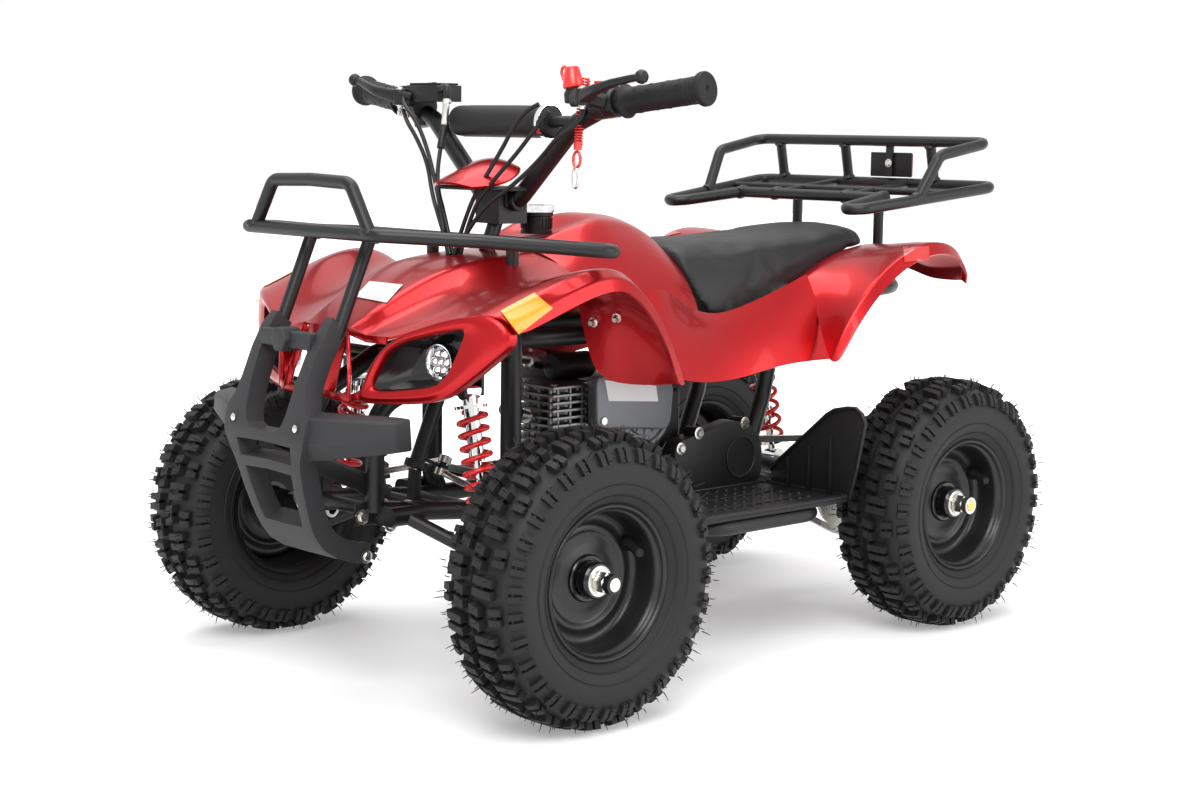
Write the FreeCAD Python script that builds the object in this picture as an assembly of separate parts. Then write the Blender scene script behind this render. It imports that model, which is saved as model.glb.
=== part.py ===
import FreeCAD, Part
import math
import os
from FreeCAD import Vector

os.makedirs("parts", exist_ok=True)

# Main sizes, in mm. Front is -Y, the rider's left is +X, up is +Z, and the ground is at zero.
# The shapes below are laid out from mid-wheelbase.
WHEELBASE = 692.0
FRONT_TRACK = 594.0
REAR_TRACK = 480.0
LENGTH_OVER_RACKS = 1000.0
WIDTH_OVER_FENDERS = 500.0
SEAT_HEIGHT = 500.0
BUMPER_REACH = 566.0

# Gap between pieces that sit together, and how far a cutting tool runs past a face
SEAT_GAP = 0.3
OVERRUN = 2.0

# Wheels
TYRE_RADIUS = 165.0
TYRE_WIDTH = 115.0
LUG_HEIGHT = 11.0
LUG_LENGTH = 24.0
LUG_WIDTH = 26.0
LUG_COUNT = 20
RIM_RADIUS = 76.0
RIM_WALL = 2.5
RIM_LIP_HEIGHT = 11.0
RIM_WIDTH = 90.0
RIM_DISH_DEPTH = 24.0
HUB_RADIUS = 17.0
HUB_LENGTH = 84.0
BEARING_BORE_RADIUS = 7.5
SPINDLE_RADIUS = 7.45
SPINDLE_NUT_RADIUS = 11.0
SPINDLE_NUT_LENGTH = 9.0

# Tubes
FRAME_TUBE_RADIUS = 11.0
DOWN_TUBE_RADIUS = 12.5
BRACE_TUBE_RADIUS = 8.0
RACK_TUBE_RADIUS = 7.5
RACK_POST_RADIUS = 7.0
RACK_BAR_RADIUS = 5.0
BAR_RADIUS = 11.0
BEND_RADIUS = 40.0
SHEET = 3.0
PANEL = 3.0

# Steering
STEM_RAKE = math.radians(22.9)
STEM_RADIUS = 9.0
STEM_FOOT_HEIGHT = 247.0
STEM_FOOT_FORWARD = 347.0
KINGPIN_OFFSET = 72.0
KINGPIN_RADIUS = 7.0
KINGPIN_LENGTH = 74.0
STEERING_ARM = 40.0
KNUCKLE_ARM_RADIUS = 5.0
TIE_ROD_RADIUS = 4.0
TIE_ROD_EYE_RADIUS = 8.0
TIE_ROD_PIN_RADIUS = 4.0
SLEEVE_WALL = 4.0
SLEEVE_SHARE = 0.76
ARM_RISE_SHARE = 0.76
PITMAN_RISE = 14.0
PITMAN_THICKNESS = 5.0
PITMAN_BOSS_RADIUS = 7.0
PITMAN_ARM_RADIUS = 2.2
PIN_END = 1.0
CLAMP_HEIGHT = 556.0
CLAMP_SIZE = 44.0
EYE_GAP = 2.5
EYE_HEIGHT = 8.0
RUNNING_GAP = 0.05

# Rear axle
AXLE_RADIUS = 12.5
SPROCKET_RADIUS = 62.0
SPROCKET_THICKNESS = 5.0
DISC_RADIUS = 60.0
DISC_THICKNESS = 3.5

HALF_BASE = WHEELBASE / 2
FRONT_HALF_TRACK = FRONT_TRACK / 2
REAR_HALF_TRACK = REAR_TRACK / 2
MID_SHIFT = (BUMPER_REACH - (HALF_BASE + TYRE_RADIUS)) / 2
KINGPIN_X = FRONT_HALF_TRACK - KINGPIN_OFFSET
SIDES = (1, -1)
X_AXIS = Vector(1, 0, 0)
Y_AXIS = Vector(0, 1, 0)
Z_AXIS = Vector(0, 0, 1)
STEM_AXIS = Vector(0, math.sin(STEM_RAKE), math.cos(STEM_RAKE))


def place(shares):
    """A point whose shares are of the width over the fenders, the length over the racks and the seat height."""
    return Vector(shares[0] * WIDTH_OVER_FENDERS, shares[1] * LENGTH_OVER_RACKS, shares[2] * SEAT_HEIGHT)


def mirrored(shape):
    return shape.mirror(Vector(0, 0, 0), X_AXIS)


def save(name, shapes):
    """Writes one piece, moved so that the middle of the machine's length is at the origin."""
    whole = Part.makeCompound(shapes) if len(shapes) > 1 else shapes[0]
    moved = whole.copy()
    moved.translate(Vector(0, MID_SHIFT, 0))
    moved.exportStep("parts/" + name + ".step")


def both_sides(name, shapes):
    save(name, shapes + [mirrored(shape) for shape in shapes])


def fused(shapes):
    whole = shapes[0].multiFuse(shapes[1:]) if len(shapes) > 1 else shapes[0]
    return whole.removeSplitter()


def rod(start, end, radius):
    run = end - start
    return Part.makeCylinder(radius, run.Length, start, run)


def box_at(centre, length, width, height):
    corner = centre - Vector(length / 2, width / 2, height / 2)
    return Part.makeBox(length, width, height, corner)


def rounded_path(points, bend_radius):
    """Straight runs joined by tangent arcs."""
    edges = []
    start = points[0]
    for before, corner, after in zip(points, points[1:], points[2:]):
        back = (before - corner).normalize()
        ahead = (after - corner).normalize()
        half_turn = (math.pi - back.getAngle(ahead)) / 2
        reach = min((before - corner).Length, (after - corner).Length) / 2
        trim = min(bend_radius * math.tan(half_turn), reach)
        radius = trim / math.tan(half_turn)
        towards_centre = (back + ahead).normalize()
        centre = corner + towards_centre * (radius / math.cos(half_turn))
        arc_start = corner + back * trim
        arc_end = corner + ahead * trim
        middle = centre - towards_centre * radius
        if (arc_start - start).Length > SEAT_GAP:
            edges.append(Part.makeLine(start, arc_start))
            start = arc_start
        edges.append(Part.Arc(start, middle, arc_end).toShape())
        start = arc_end
    edges.append(Part.makeLine(start, points[-1]))
    return Part.Wire(edges)


def tube(points, radius, bend_radius=BEND_RADIUS):
    if len(points) == 2:
        return rod(points[0], points[1], radius)
    path = rounded_path(points, bend_radius)
    profile = Part.Wire([Part.makeCircle(radius, points[0], points[1] - points[0])])
    return path.makePipeShell([profile], True, False)


def placed_tube(table, radius, bend_radius=BEND_RADIUS):
    return tube([place(shares) for shares in table], radius, bend_radius)


def mirrored_points(points):
    return [Vector(-point.x, point.y, point.z) for point in points]


def surface_through(grid):
    surface = Part.BSplineSurface()
    surface.interpolate(grid)
    return surface


def skin(grid, wall):
    """A moulded panel: a smooth surface through the points, one wall thick on its inner side."""
    outer = surface_through(grid)
    inner_grid = []
    for row in grid:
        inner_row = []
        for point in row:
            u, v = outer.parameter(point)
            inner_row.append(point - outer.normal(u, v) * wall)
        inner_grid.append(inner_row)
    inner = surface_through(inner_grid)
    outer_face = outer.toShape()
    inner_face = inner.toShape()
    sides = [Part.makeRuledSurface(a, b) for a, b in zip(outer_face.Edges, inner_face.Edges)]
    shell = Part.makeShell([outer_face, inner_face] + sides)
    shell.sewShape()
    solid = Part.makeSolid(Part.Shell(shell.Faces))
    if solid.Volume < 0:
        solid.reverse()
    return solid


def grid_of(rows):
    return [[place(shares) for shares in row] for row in rows]


def mirrored_grid(rows):
    """Rows given from the centre line outwards, carried across it to the other side."""
    whole = []
    for row in grid_of(rows):
        whole.append(mirrored_points(row[:0:-1]) + row)
    return whole


def ring(profile, centre):
    """A turned piece about the X axis through a centre; the profile holds (along, radius) pairs."""
    points = [centre + Vector(along, 0, radius) for along, radius in profile]
    wire = Part.makePolygon(points + points[:1])
    return Part.Face(wire).revolve(centre, X_AXIS, 360)


# Tyre: a flat-sided ring, so that the lugs stand on flats
TYRE_OUTLINE_SHARES = [
    (0.4, 0.56), (0.5, 0.74), (0.47, 0.86), (0.33, 0.93),
]
SHOULDER_LUG_SHARE = 0.36
CENTRE_LUG_SHARE = 0.13


def corners_at(centre, along, radius, count):
    """The corners of a ring's flat-sided section, with the first one given again at the end."""
    points = []
    for step in range(count + 1):
        angle = 2 * math.pi * (step + 0.5) / count
        flat_radius = radius / math.cos(math.pi / count)
        points.append(centre + Vector(along, math.cos(angle) * flat_radius, math.sin(angle) * flat_radius))
    return points


def tyre_ring(centre):
    """The carcass, out to the foot of the lugs."""
    bead_radius = RIM_RADIUS + SEAT_GAP
    bead_half = RIM_WIDTH / 2 - RIM_WALL - SEAT_GAP
    lip_radius = RIM_RADIUS + RIM_LIP_HEIGHT + SEAT_GAP
    left = [(along * TYRE_WIDTH, radius * TYRE_RADIUS) for along, radius in TYRE_OUTLINE_SHARES]
    outline = [(bead_half, bead_radius), (bead_half, lip_radius)] + left
    whole = outline + [(-along, radius) for along, radius in outline[::-1]]
    sections = [corners_at(centre, along, radius, LUG_COUNT) for along, radius in whole]
    faces = []
    for first, second in zip(sections, sections[1:] + sections[:1]):
        for a, b, c, d in zip(first, first[1:], second[1:], second):
            faces.append(Part.Face(Part.makePolygon([a, b, c, d, a])))
    shell = Part.makeShell(faces)
    shell.sewShape()
    solid = Part.makeSolid(Part.Shell(shell.Faces))
    if solid.Volume < 0:
        solid.reverse()
    return solid


def lug(along, width, length, foot, top):
    return Part.makeBox(width, length, top - foot, Vector(along - width / 2, -length / 2, foot))


def tyre():
    """One tyre with its lugs, about the origin."""
    centre = Vector(0, 0, 0)
    foot = TYRE_RADIUS - LUG_HEIGHT - OVERRUN
    shoulder_top = TYRE_RADIUS - LUG_HEIGHT / 2
    shoulder_foot = shoulder_top - LUG_HEIGHT - LUG_HEIGHT
    pieces = [tyre_ring(centre)]
    for step in range(LUG_COUNT):
        angle = 360.0 * step / LUG_COUNT
        hand = 1 if step % 2 else -1
        blocks = [
            lug(hand * CENTRE_LUG_SHARE * TYRE_WIDTH, LUG_WIDTH, LUG_LENGTH, foot, TYRE_RADIUS),
            lug(-hand * SHOULDER_LUG_SHARE * TYRE_WIDTH, LUG_WIDTH, LUG_LENGTH, shoulder_foot, shoulder_top),
        ]
        for block in blocks:
            block.rotate(centre, X_AXIS, angle)
            pieces.append(block)
    return fused(pieces)


def rim(centre, side):
    """Stamped steel wheel: barrel with rolled lips, a dished disc and a hub, the dish on the outer side."""
    half = RIM_WIDTH / 2
    lip = RIM_RADIUS + RIM_LIP_HEIGHT
    inside = RIM_RADIUS - RIM_WALL
    barrel = ring([
        (-half, lip), (-half, inside), (half, inside), (half, lip),
        (half - RIM_WALL, lip), (half - RIM_WALL, RIM_RADIUS), (RIM_WALL - half, RIM_RADIUS), (RIM_WALL - half, lip),
    ], centre)
    face = side * (half - RIM_DISH_DEPTH)
    back = face - side * RIM_WALL
    disc_edge = inside + RIM_WALL / 2
    disc = ring([(face, HUB_RADIUS), (face, disc_edge), (back, disc_edge), (back, HUB_RADIUS)], centre)
    hub_half = HUB_LENGTH / 2
    hub = ring([
        (-hub_half, BEARING_BORE_RADIUS), (-hub_half, HUB_RADIUS + RIM_WALL),
        (hub_half, HUB_RADIUS + RIM_WALL), (hub_half, BEARING_BORE_RADIUS),
    ], centre)
    return fused([barrel, disc, hub])


def wheel_centre(side, front):
    if front:
        return Vector(side * FRONT_HALF_TRACK, -HALF_BASE, TYRE_RADIUS)
    return Vector(side * REAR_HALF_TRACK, HALF_BASE, TYRE_RADIUS)


def make_wheels():
    tyre_shape = tyre()
    for side, word in ((1, "left"), (-1, "right")):
        centre = wheel_centre(side, True)
        save("tyre_front_" + word, [tyre_shape.translated(centre)])
        save("rim_front_" + word, [rim(centre, side)])
    save("rear_tyres", [tyre_shape.translated(wheel_centre(side, False)) for side in SIDES])
    save("rear_rims", [rim(wheel_centre(side, False), side) for side in SIDES])


# Rear axle: a solid shaft with the sprocket and the brake disc
SPROCKET_X_SHARE = 0.31
DISC_X_SHARE = -0.325


def make_rear_axle():
    end = REAR_HALF_TRACK + HUB_LENGTH / 2 + SPINDLE_NUT_LENGTH
    inner_end = REAR_HALF_TRACK - HUB_LENGTH / 2 - SEAT_GAP
    centre = Vector(0, HALF_BASE, TYRE_RADIUS)
    pieces = [
        rod(centre - X_AXIS * inner_end, centre + X_AXIS * inner_end, AXLE_RADIUS),
        rod(centre - X_AXIS * end, centre + X_AXIS * end, SPINDLE_RADIUS),
    ]
    for side in SIDES:
        face = side * (REAR_HALF_TRACK + HUB_LENGTH / 2 + SEAT_GAP)
        nut_start = centre + X_AXIS * face
        pieces.append(rod(nut_start, nut_start + X_AXIS * (side * SPINDLE_NUT_LENGTH), SPINDLE_NUT_RADIUS))
    sprocket = centre + X_AXIS * (SPROCKET_X_SHARE * REAR_HALF_TRACK)
    pieces.append(rod(sprocket, sprocket + X_AXIS * SPROCKET_THICKNESS, SPROCKET_RADIUS))
    disc = centre + X_AXIS * (DISC_X_SHARE * REAR_HALF_TRACK)
    pieces.append(rod(disc, disc + X_AXIS * DISC_THICKNESS, DISC_RADIUS))
    save("rear_axle", [fused(pieces)])


# Knuckles and tie rods
def kingpin_foot(side):
    return Vector(side * KINGPIN_X, -HALF_BASE, TYRE_RADIUS - KINGPIN_LENGTH / 2)


def knuckle(side):
    """Sleeve on the kingpin, spindle through the wheel's hub, and the arm that the tie rod turns."""
    foot = kingpin_foot(side)
    middle = foot + Z_AXIS * (KINGPIN_LENGTH / 2)
    outwards = X_AXIS * side
    hub_start = FRONT_HALF_TRACK - HUB_LENGTH / 2
    hub_end = FRONT_HALF_TRACK + HUB_LENGTH / 2
    spindle_root = Vector(side * (hub_start - SEAT_GAP), middle.y, middle.z)
    nut_start = Vector(side * (hub_end + SEAT_GAP), middle.y, middle.z)
    sleeve_half = Z_AXIS * (KINGPIN_LENGTH * SLEEVE_SHARE / 2)
    arm_root = foot + Z_AXIS * (KINGPIN_LENGTH * ARM_RISE_SHARE)
    pin = knuckle_pin(side)
    pin_top = pin + Z_AXIS * (KNUCKLE_ARM_RADIUS + EYE_HEIGHT + EYE_GAP + EYE_GAP + EYE_GAP)
    body = fused([
        rod(middle - sleeve_half, middle + sleeve_half, KINGPIN_RADIUS + SLEEVE_WALL),
        rod(middle, spindle_root, HUB_RADIUS - SHEET),
        rod(middle, nut_start + outwards * SPINDLE_NUT_LENGTH, SPINDLE_RADIUS),
        rod(nut_start, nut_start + outwards * SPINDLE_NUT_LENGTH, SPINDLE_NUT_RADIUS),
        rod(arm_root, pin, KNUCKLE_ARM_RADIUS),
        rod(pin - Z_AXIS * KNUCKLE_ARM_RADIUS, pin + Z_AXIS * KNUCKLE_ARM_RADIUS, TIE_ROD_EYE_RADIUS),
        rod(pin, pin_top, TIE_ROD_PIN_RADIUS),
        rod(pin_top, pin_top + Z_AXIS * SHEET, TIE_ROD_EYE_RADIUS),
    ])
    reach = Z_AXIS * KINGPIN_LENGTH
    return body.cut(rod(middle - reach, middle + reach, KINGPIN_RADIUS + RUNNING_GAP))


def stem_foot():
    return Vector(0, -STEM_FOOT_FORWARD, STEM_FOOT_HEIGHT)


def save_knuckles():
    for side, word in ((1, "left"), (-1, "right")):
        save("knuckle_" + word, [knuckle(side)])


# Steering: stem with the pitman arm. Both tie rods sit on its one pin, the left one under the arm
def stem_point(rise):
    return stem_foot() + STEM_AXIS * rise


def stem_length():
    return (CLAMP_HEIGHT - STEM_FOOT_HEIGHT) / STEM_AXIS.z


def pitman_pin():
    back = Vector(0, STEM_AXIS.z, -STEM_AXIS.y)
    return stem_point(PITMAN_RISE) + back * STEERING_ARM


def eye_level(side):
    """How far the middle of a tie rod's inner eye lies over the middle of the pitman arm."""
    gap = SEAT_GAP if side > 0 else EYE_GAP
    return -side * (PITMAN_THICKNESS / 2 + gap + EYE_HEIGHT / 2)


def steering_stem():
    arm_half = STEM_AXIS * (PITMAN_THICKNESS / 2)
    pin = pitman_pin()
    pin_half = EYE_HEIGHT / 2 + PIN_END
    pin_low = pin + STEM_AXIS * (eye_level(1) - pin_half)
    pin_high = pin + STEM_AXIS * (eye_level(-1) + pin_half)
    pieces = [
        rod(stem_point(0), stem_point(stem_length()), STEM_RADIUS),
        rod(stem_point(PITMAN_RISE), pin, PITMAN_ARM_RADIUS),
        rod(pin - arm_half, pin + arm_half, PITMAN_BOSS_RADIUS),
        rod(pin_low, pin_high, TIE_ROD_PIN_RADIUS),
        box_at(stem_point(stem_length()), CLAMP_SIZE, CLAMP_SIZE, CLAMP_SIZE),
    ]
    return fused(pieces).cut(bar_hole())


def knuckle_pin(side):
    return kingpin_foot(side) + Vector(0, STEERING_ARM, KINGPIN_LENGTH * ARM_RISE_SHARE)


def tie_rod(side):
    """A rod between two eyes; the outer eye has room round its pin, because the stem leans."""
    inner = pitman_pin() + STEM_AXIS * eye_level(side)
    outer = knuckle_pin(side) + Z_AXIS * (KNUCKLE_ARM_RADIUS + EYE_GAP + EYE_HEIGHT / 2)
    inner_up = STEM_AXIS * (EYE_HEIGHT / 2)
    outer_up = Z_AXIS * (EYE_HEIGHT / 2)
    run = (outer - inner).normalize()
    outer_eye = TIE_ROD_PIN_RADIUS + EYE_GAP + SHEET
    body = fused([
        rod(inner - inner_up, inner + inner_up, TIE_ROD_EYE_RADIUS),
        rod(outer - outer_up, outer + outer_up, outer_eye),
        rod(inner + run * TIE_ROD_EYE_RADIUS / 2, outer - run * outer_eye / 2, TIE_ROD_RADIUS),
    ])
    bores = [
        rod(inner - inner_up - inner_up, inner + inner_up + inner_up, TIE_ROD_PIN_RADIUS + RUNNING_GAP),
        rod(outer - outer_up - outer_up, outer + outer_up + outer_up, TIE_ROD_PIN_RADIUS + EYE_GAP),
    ]
    return body.cut(bores)


# Handlebar: one bent tube with a padded cross tube
BAR_HALF_SHARES = [
    (0.0, -0.215, 1.124), (0.06, -0.215, 1.124), (0.262, -0.213, 1.31), (0.37, -0.21, 1.354),
    (0.628, -0.188, 1.388),
]
BAR_BEND = 30.0
CROSS_HEIGHT = 656.0
PAD_RADIUS = 20.0
PAD_HALF_LENGTH = 88.0
CROSS_RADIUS = 7.0
CROSS_HALF_SHARE = 0.25
GRIP_RADIUS = 15.5
GRIP_FLANGE_RADIUS = 19.5
GRIP_LENGTH = 116.0
GRIP_FLANGE_WIDTH = 5.0
GRIP_END_WALL = 4.0


def handlebar_centre():
    return place(BAR_HALF_SHARES[0])


def bar_end_frame():
    """The tip of the left grip's tube and the direction along it, outwards."""
    tip = place(BAR_HALF_SHARES[-1])
    along = (tip - place(BAR_HALF_SHARES[-2])).normalize()
    return tip, along


def handlebar():
    half = [place(shares) for shares in BAR_HALF_SHARES[1:]]
    whole = mirrored_points(half)[::-1] + half
    cross_y = place(BAR_HALF_SHARES[2]).y
    cross_end = Vector(CROSS_HALF_SHARE * WIDTH_OVER_FENDERS, cross_y, CROSS_HEIGHT)
    cross_start = Vector(-cross_end.x, cross_end.y, cross_end.z)
    return fused([tube(whole, BAR_RADIUS, BAR_BEND), rod(cross_start, cross_end, CROSS_RADIUS)])


def bar_pad():
    cross_y = place(BAR_HALF_SHARES[2]).y
    left = Vector(PAD_HALF_LENGTH, cross_y, CROSS_HEIGHT)
    right = Vector(-PAD_HALF_LENGTH, cross_y, CROSS_HEIGHT)
    reach = X_AXIS * OVERRUN
    return rod(left, right, PAD_RADIUS).cut(rod(left + reach, right - reach, CROSS_RADIUS + RUNNING_GAP))


def grip():
    tip, along = bar_end_frame()
    outer = tip + along * GRIP_END_WALL
    inner = outer - along * GRIP_LENGTH
    body = fused([
        rod(inner, outer, GRIP_RADIUS),
        rod(inner, inner + along * GRIP_FLANGE_WIDTH, GRIP_FLANGE_RADIUS),
        rod(outer - along * GRIP_FLANGE_WIDTH, outer, GRIP_FLANGE_RADIUS),
    ])
    return body.cut(rod(inner - along * OVERRUN, tip, BAR_RADIUS + RUNNING_GAP))


# Brake levers, in front of the grips
LEVER_SHARES = [
    (0.34, -0.238, 1.372), (0.37, -0.262, 1.386), (0.45, -0.262, 1.398), (0.53, -0.258, 1.408),
]
LEVER_RADIUS = 5.0
LEVER_BALL_RADIUS = 8.0
PERCH_WIDTH = 22.0
PERCH_RADIUS = 16.0


def lever():
    points = [place(shares) for shares in LEVER_SHARES]
    tip, along = bar_end_frame()
    perch = tip - along * (GRIP_LENGTH + PERCH_WIDTH)
    perch_end = perch + along * (PERCH_WIDTH - SEAT_GAP)
    body = fused([
        tube(points, LEVER_RADIUS, BAR_BEND),
        Part.makeSphere(LEVER_BALL_RADIUS, points[-1]),
        rod(perch, perch_end, PERCH_RADIUS),
        rod(perch + along * (PERCH_WIDTH / 2), points[0], LEVER_RADIUS + SHEET),
        Part.makeSphere(LEVER_RADIUS + SHEET, points[0]),
    ])
    return body.cut(bar_hole())


THROTTLE_SHARES = (-0.262, -0.214, 1.38)
THROTTLE_LENGTH = 58.0
THROTTLE_WIDTH = 46.0
THROTTLE_HEIGHT = 24.0
SWITCH_SHARES = (0.29, -0.212, 1.376)
BAR_CLAMP_RADIUS = 17.0
BAR_CLAMP_LENGTH = 18.0
SWITCH_LENGTH = 30.0
SWITCH_WIDTH = 34.0
SWITCH_HEIGHT = 26.0
SWITCH_CAP_RADIUS = 11.0
SWITCH_CAP_HEIGHT = 22.0


def bar_hole():
    half = [place(shares) for shares in BAR_HALF_SHARES[1:]]
    return tube(mirrored_points(half)[::-1] + half, BAR_RADIUS + RUNNING_GAP, BAR_BEND)


def bar_clamp():
    """The ring that holds a fitting on the left slope of the handlebar."""
    low = place(BAR_HALF_SHARES[2])
    high = place(BAR_HALF_SHARES[3])
    middle = (low + high) / 2
    half = (high - low).normalize() * (BAR_CLAMP_LENGTH / 2)
    return rod(middle - half, middle + half, BAR_CLAMP_RADIUS)


def throttle_housing():
    body = box_at(place(THROTTLE_SHARES), THROTTLE_LENGTH, THROTTLE_WIDTH, THROTTLE_HEIGHT)
    return fused([body.makeFillet(SHEET, body.Edges), mirrored(bar_clamp())]).cut(bar_hole())


def kill_switch():
    centre = place(SWITCH_SHARES)
    body = box_at(centre, SWITCH_LENGTH, SWITCH_WIDTH, SWITCH_HEIGHT)
    top = centre + Z_AXIS * (SWITCH_HEIGHT / 2)
    cap = Part.makeCone(SWITCH_CAP_RADIUS, SWITCH_CAP_RADIUS - SHEET, SWITCH_CAP_HEIGHT, top, Z_AXIS)
    return fused([body.makeFillet(SHEET, body.Edges), cap, bar_clamp()]).cut(bar_hole())


# Red cover over the handlebar clamp; rows run from its front tip to its back
COVER_ROW_SHARES = [
    [(0.0, -0.304, 1.168), (0.04, -0.302, 1.166), (0.07, -0.292, 1.16)],
    [(0.0, -0.283, 1.19), (0.05, -0.28, 1.184), (0.1, -0.272, 1.168)],
    [(0.0, -0.255, 1.218), (0.055, -0.255, 1.206), (0.12, -0.25, 1.184)],
    [(0.0, -0.229, 1.228), (0.05, -0.229, 1.218), (0.1, -0.229, 1.204)],
]


def bar_cover():
    return skin(mirrored_grid(COVER_ROW_SHARES), PANEL)


def make_steering():
    save("steering_stem", [steering_stem()])
    save("handlebar", [handlebar()])
    save("bar_pad", [bar_pad()])
    both_sides("grips", [grip()])
    both_sides("levers", [lever()])
    save("throttle_housing", [throttle_housing()])
    save("kill_switch", [kill_switch()])
    save("bar_cover", [bar_cover()])
    for side, word in ((1, "left"), (-1, "right")):
        save("tie_rod_" + word, [tie_rod(side)])


# Frame: places are shares of the fender width, the rack length and the seat height
RAIL_SHARES = [
    (0.12, -0.45, 0.43), (0.12, -0.3, 0.4), (0.12, 0.15, 0.4),
    (0.12, 0.19, 0.6), (0.15, 0.2, 0.84),
]
SEAT_RAIL_SHARES = [
    (0.15, -0.262, 0.8), (0.15, 0.06, 0.8), (0.15, 0.2, 0.84),
    (0.15, 0.42, 0.872), (0.12, 0.455, 0.872), (0.0, 0.455, 0.872),
]
DOWN_TUBE_SHARES = [(0.15, -0.262, 0.91), (0.15, -0.262, 0.44), (0.122, -0.262, 0.4)]
TOWER_SHARES = [(0.15, -0.262, 0.78), (0.14, -0.352, 0.756), (0.12, -0.45, 0.66), (0.12, -0.45, 0.43)]
FOOT_CROSS_SHARES = (0.12, -0.349, 0.41)
EAR_THICKNESS = 4.0
ARM_EYE_LENGTH = 34.0
ARM_EYE_RADIUS = 11.0
ARM_BOLT_RADIUS = 4.0
CROSS_SHARES = [
    (0.12, -0.45, 0.43), FOOT_CROSS_SHARES, (0.12, -0.3, 0.4), (0.12, 0.06, 0.4), (0.15, -0.262, 0.892),
    (0.15, -0.262, 0.78), (0.15, 0.23, 0.8366), (0.25, -0.352, 0.756),
]
HEAD_RISE_SHARE = 0.62
HEAD_RADIUS = 14.0
HEAD_LENGTH = 30.0
FOOT_BUSH_LENGTH = 9.0


def welded(shapes):
    """Tubes joined one after the other."""
    whole = shapes[0]
    for shape in shapes[1:]:
        whole = whole.fuse(shape)
    return whole


def cross_tube(shares, radius):
    end = place(shares)
    return rod(Vector(-end.x, end.y, end.z), end, radius)


def stem_bores():
    reach = STEM_AXIS * OVERRUN
    head = stem_length() * HEAD_RISE_SHARE
    return [
        rod(stem_point(0) - reach, stem_point(FOOT_BUSH_LENGTH) + reach, STEM_RADIUS + RUNNING_GAP),
        rod(stem_point(head) - reach, stem_point(head + HEAD_LENGTH) + reach, STEM_RADIUS + RUNNING_GAP),
    ]


def arm_ears(eye_shares, side):
    """Two ears on the rail with the bolt that an arm swings on."""
    eye = place(eye_shares)
    eye.x = eye.x * side
    half = ARM_EYE_LENGTH / 2 + SEAT_GAP
    rail_x = side * RAIL_SHARES[0][0] * WIDTH_OVER_FENDERS
    ears = []
    for end in SIDES:
        middle = Vector((eye.x + rail_x) / 2, eye.y + end * (half + EAR_THICKNESS / 2), eye.z)
        ears.append(box_at(middle, abs(eye.x - rail_x), EAR_THICKNESS, ARM_EYE_RADIUS * 2))
        ears.append(rod(middle - Y_AXIS * (EAR_THICKNESS / 2) + X_AXIS * (eye.x - middle.x),
                        middle + Y_AXIS * (EAR_THICKNESS / 2) + X_AXIS * (eye.x - middle.x), ARM_EYE_RADIUS))
    reach = Y_AXIS * (half + EAR_THICKNESS)
    ears.append(rod(eye - reach, eye + reach, ARM_BOLT_RADIUS))
    return ears


def shock_bracket(side):
    """A channel under the tower's cross tube that holds the damper's top eye."""
    eye = place(SHOCK_TOP_SHARES)
    eye.x = eye.x * side
    cross_z = CROSS_SHARES[-1][2] * SEAT_HEIGHT
    half = DAMPER_EYE_RADIUS + SEAT_GAP
    top = Vector(eye.x, eye.y, cross_z - BRACE_TUBE_RADIUS)
    pieces = [box_at(top, DAMPER_EYE_RADIUS * 2, (half + EAR_THICKNESS) * 2, EAR_THICKNESS)]
    drop = top.z - eye.z + DAMPER_EYE_RADIUS / 2
    for end in SIDES:
        middle = Vector(eye.x, eye.y + end * (half + EAR_THICKNESS / 2), top.z - drop / 2)
        pieces.append(box_at(middle, DAMPER_EYE_RADIUS * 2, EAR_THICKNESS, drop))
    return pieces


def frame():
    pieces = []
    tables = (RAIL_SHARES, DOWN_TUBE_SHARES, TOWER_SHARES, SEAT_RAIL_SHARES)
    radii = (FRAME_TUBE_RADIUS, DOWN_TUBE_RADIUS, FRAME_TUBE_RADIUS, FRAME_TUBE_RADIUS)
    for table, radius in zip(tables, radii):
        side_tube = placed_tube(table, radius)
        pieces.append(side_tube)
        pieces.append(mirrored(side_tube))
    for shares in CROSS_SHARES:
        pieces.append(cross_tube(shares, BRACE_TUBE_RADIUS))
    head = stem_length() * HEAD_RISE_SHARE
    pieces.append(rod(stem_point(head), stem_point(head + HEAD_LENGTH), HEAD_RADIUS))
    pieces.append(rod(stem_point(0), stem_point(FOOT_BUSH_LENGTH), HEAD_RADIUS))
    foot_cross = Vector(0, FOOT_CROSS_SHARES[1] * LENGTH_OVER_RACKS, FOOT_CROSS_SHARES[2] * SEAT_HEIGHT)
    pieces.append(rod(foot_cross, stem_point(FOOT_BUSH_LENGTH / 4), BRACE_TUBE_RADIUS))
    for side in SIDES:
        pieces += arm_ears(ARM_FRONT_SHARES, side)
        pieces += arm_ears(ARM_REAR_SHARES, side)
        pieces += shock_bracket(side)
    return welded(pieces).cut(stem_bores())


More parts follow.
